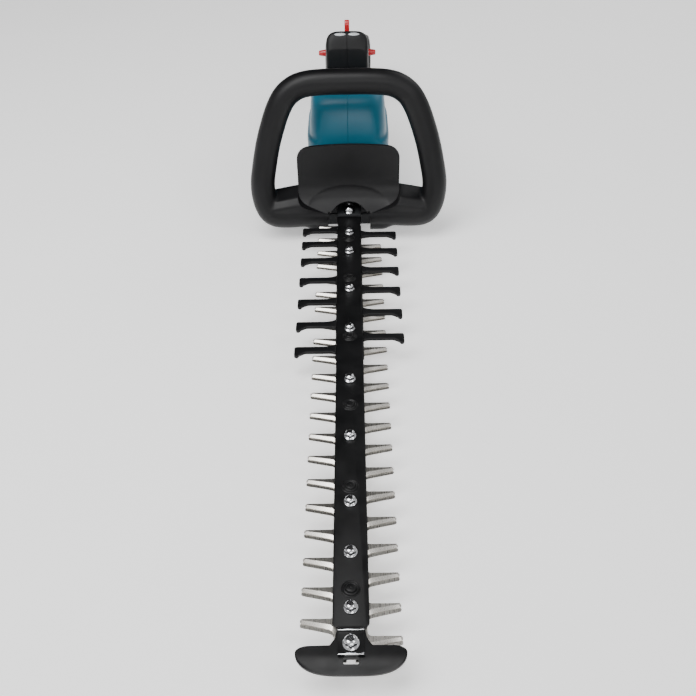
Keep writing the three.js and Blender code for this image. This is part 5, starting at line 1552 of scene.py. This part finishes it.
@dataclass
class Studio:
    """Floor, light and camera."""

    floor_half_width: float = 15.0
    position: tuple[float, float, float] = (0.0074386, -0.9048282, 0.6255311)
    yaw: float = math.radians(-0.76278)
    pitch: float = math.radians(40.38303)
    roll: float = math.radians(-1.29648)
    lens: float = 43.60
    flag: tuple[float, float, float] = (-0.15, 0.75, 0.645)
    tent: float = 0.55
    floor_glow: float = 0.45
    panels: tuple[Panel, ...] = (
        Panel("left_overhead_panel", (-0.62, -0.5, 1.7), (0, -0.1, 0), (1.0, 1.7), 34),
        Panel("front_panel", (0.4, -2.3, 1.5), (0, 0, 0.1), (1.6, 0.9), 14),
        Panel("right_rear_panel", (1.1, 1.3, 1.3), (0, 0, 0), (1.0, 1.0), 7),
        Panel("shoulder_panel", (1.15, -0.8, 1.5), (0.1, 0.1, 0.15), (0.5, 0.5), 4))

    def floor(self) -> None:
        """A pale matt floor, lit a little from below as a light table is."""
        half = self.floor_half_width
        corners = [(-half, -half, 0), (half, -half, 0), (half, half, 0), (-half, half, 0)]
        mesh = bpy.data.meshes.new("floor")
        mesh.from_pydata(corners, [], [(0, 1, 2, 3)])
        floor = bpy.data.objects.new("floor", mesh)
        bpy.context.scene.collection.objects.link(floor)
        made, tree, here = new_material("floor_paper")
        noise = add_node(tree, "ShaderNodeTexNoise", {"Scale": 6.0}, here)
        tints = {"data_type": "RGBA", 6: linear("#fbfbfb"), 7: linear("#ffffff")}
        tint = add_node(tree, "ShaderNodeMix", tints, {0: (noise, "Fac")})
        settings = {"Roughness": 0.9, "Emission Strength": self.floor_glow}
        paper = add_node(tree, "ShaderNodeBsdfPrincipled", settings,
                         {"Base Color": (tint, 2), "Emission Color": (tint, 2)})
        add_node(tree, "ShaderNodeOutputMaterial", links={"Surface": (paper, 0)})
        mesh.materials.append(made)

    def camera(self) -> None:
        """A camera ahead of the tip, looking back and down."""
        cy, sy, cp, sp = math.cos(self.yaw), math.sin(self.yaw), math.cos(self.pitch), math.sin(self.pitch)
        forward, right = Vector((sy * cp, cy * cp, -sp)), Vector((cy, -sy, 0))
        up = right.cross(forward)
        cr, sr = math.cos(self.roll), math.sin(self.roll)
        side, top = right * cr + up * sr, up * cr - right * sr
        data = bpy.data.cameras.new("camera")
        data.lens, data.sensor_width, data.clip_end = self.lens, 36.0, 50.0
        camera = bpy.data.objects.new("camera", data)
        bpy.context.scene.collection.objects.link(camera)
        turn = Matrix((side, top, -forward)).transposed().to_4x4()
        camera.matrix_world = Matrix.Translation(self.position) @ turn
        bpy.context.scene.camera = camera

    def sky(self) -> None:
        """A dim white tent with a black flag behind the trimmer, which keeps its level faces dark."""
        world = bpy.data.worlds.new("studio")
        world.use_nodes = True
        tree = world.node_tree
        tree.nodes.clear()
        way = add_node(tree, "ShaderNodeTexCoord")
        facing = add_node(tree, "ShaderNodeVectorMath", {"operation": "DOT_PRODUCT", 1: self.flag},
                          {0: (way, "Generated")})
        limits = {"From Min": 0.4, "From Max": 0.8, "To Min": self.tent, "To Max": 0.02}
        level = add_node(tree, "ShaderNodeMapRange", limits, {"Value": (facing, "Value")})
        light = add_node(tree, "ShaderNodeBackground", {"Color": linear("#ffffff")},
                         {"Strength": (level, 0)})
        add_node(tree, "ShaderNodeOutputWorld", links={"Surface": (light, 0)})
        bpy.context.scene.world = world

    def build(self) -> None:
        """Build the studio."""
        self.floor()
        self.camera()
        self.sky()
        for panel in self.panels:
            panel.hang()


# ------------------------------------------------------------------ all together
def dress_hidden_nodes(finishes: dict[Finish, bpy.types.Material]) -> None:
    """Give every CAD node that stays its slot's finish.

    Args:
        finishes: the trimmer's materials.
    """
    slots = {part["node"]: part["material_slot"] for part in frame["record"]["subparts"]}
    for name, obj in frame["nodes"].items():
        if obj.hide_render:
            continue
        obj.data.materials.clear()
        obj.data.materials.append(finishes[Finish[slots[name]]])
        log.info("%s keeps its CAD shape as %s", name, slots[name])


def main() -> None:
    """Build the trimmer, piece by piece."""
    logging.basicConfig(level=logging.INFO, format="%(message)s")
    finishes = {finish: finish.value.material() for finish in Finish}
    bolts = [middle_of(f"bar_{k:02d}_bolt")[1] for k in range(1, 10)] + [middle_of("tip_bolt")[1]]
    blades = Blades(finishes)
    blades.build("upper_blade", low=0.15, shift=0.0, bevel_up=True, bolts=bolts)
    blades.build("lower_blade", low=-2.15, shift=-3.3, bevel_up=False, bolts=bolts)
    for kind in (CuttingBar, FrontHandle, MotorHousing, RearHandle, Battery):
        kind(finishes).build()
    dress_hidden_nodes(finishes)
    Studio().build()


if __name__ == "__main__":
    main()
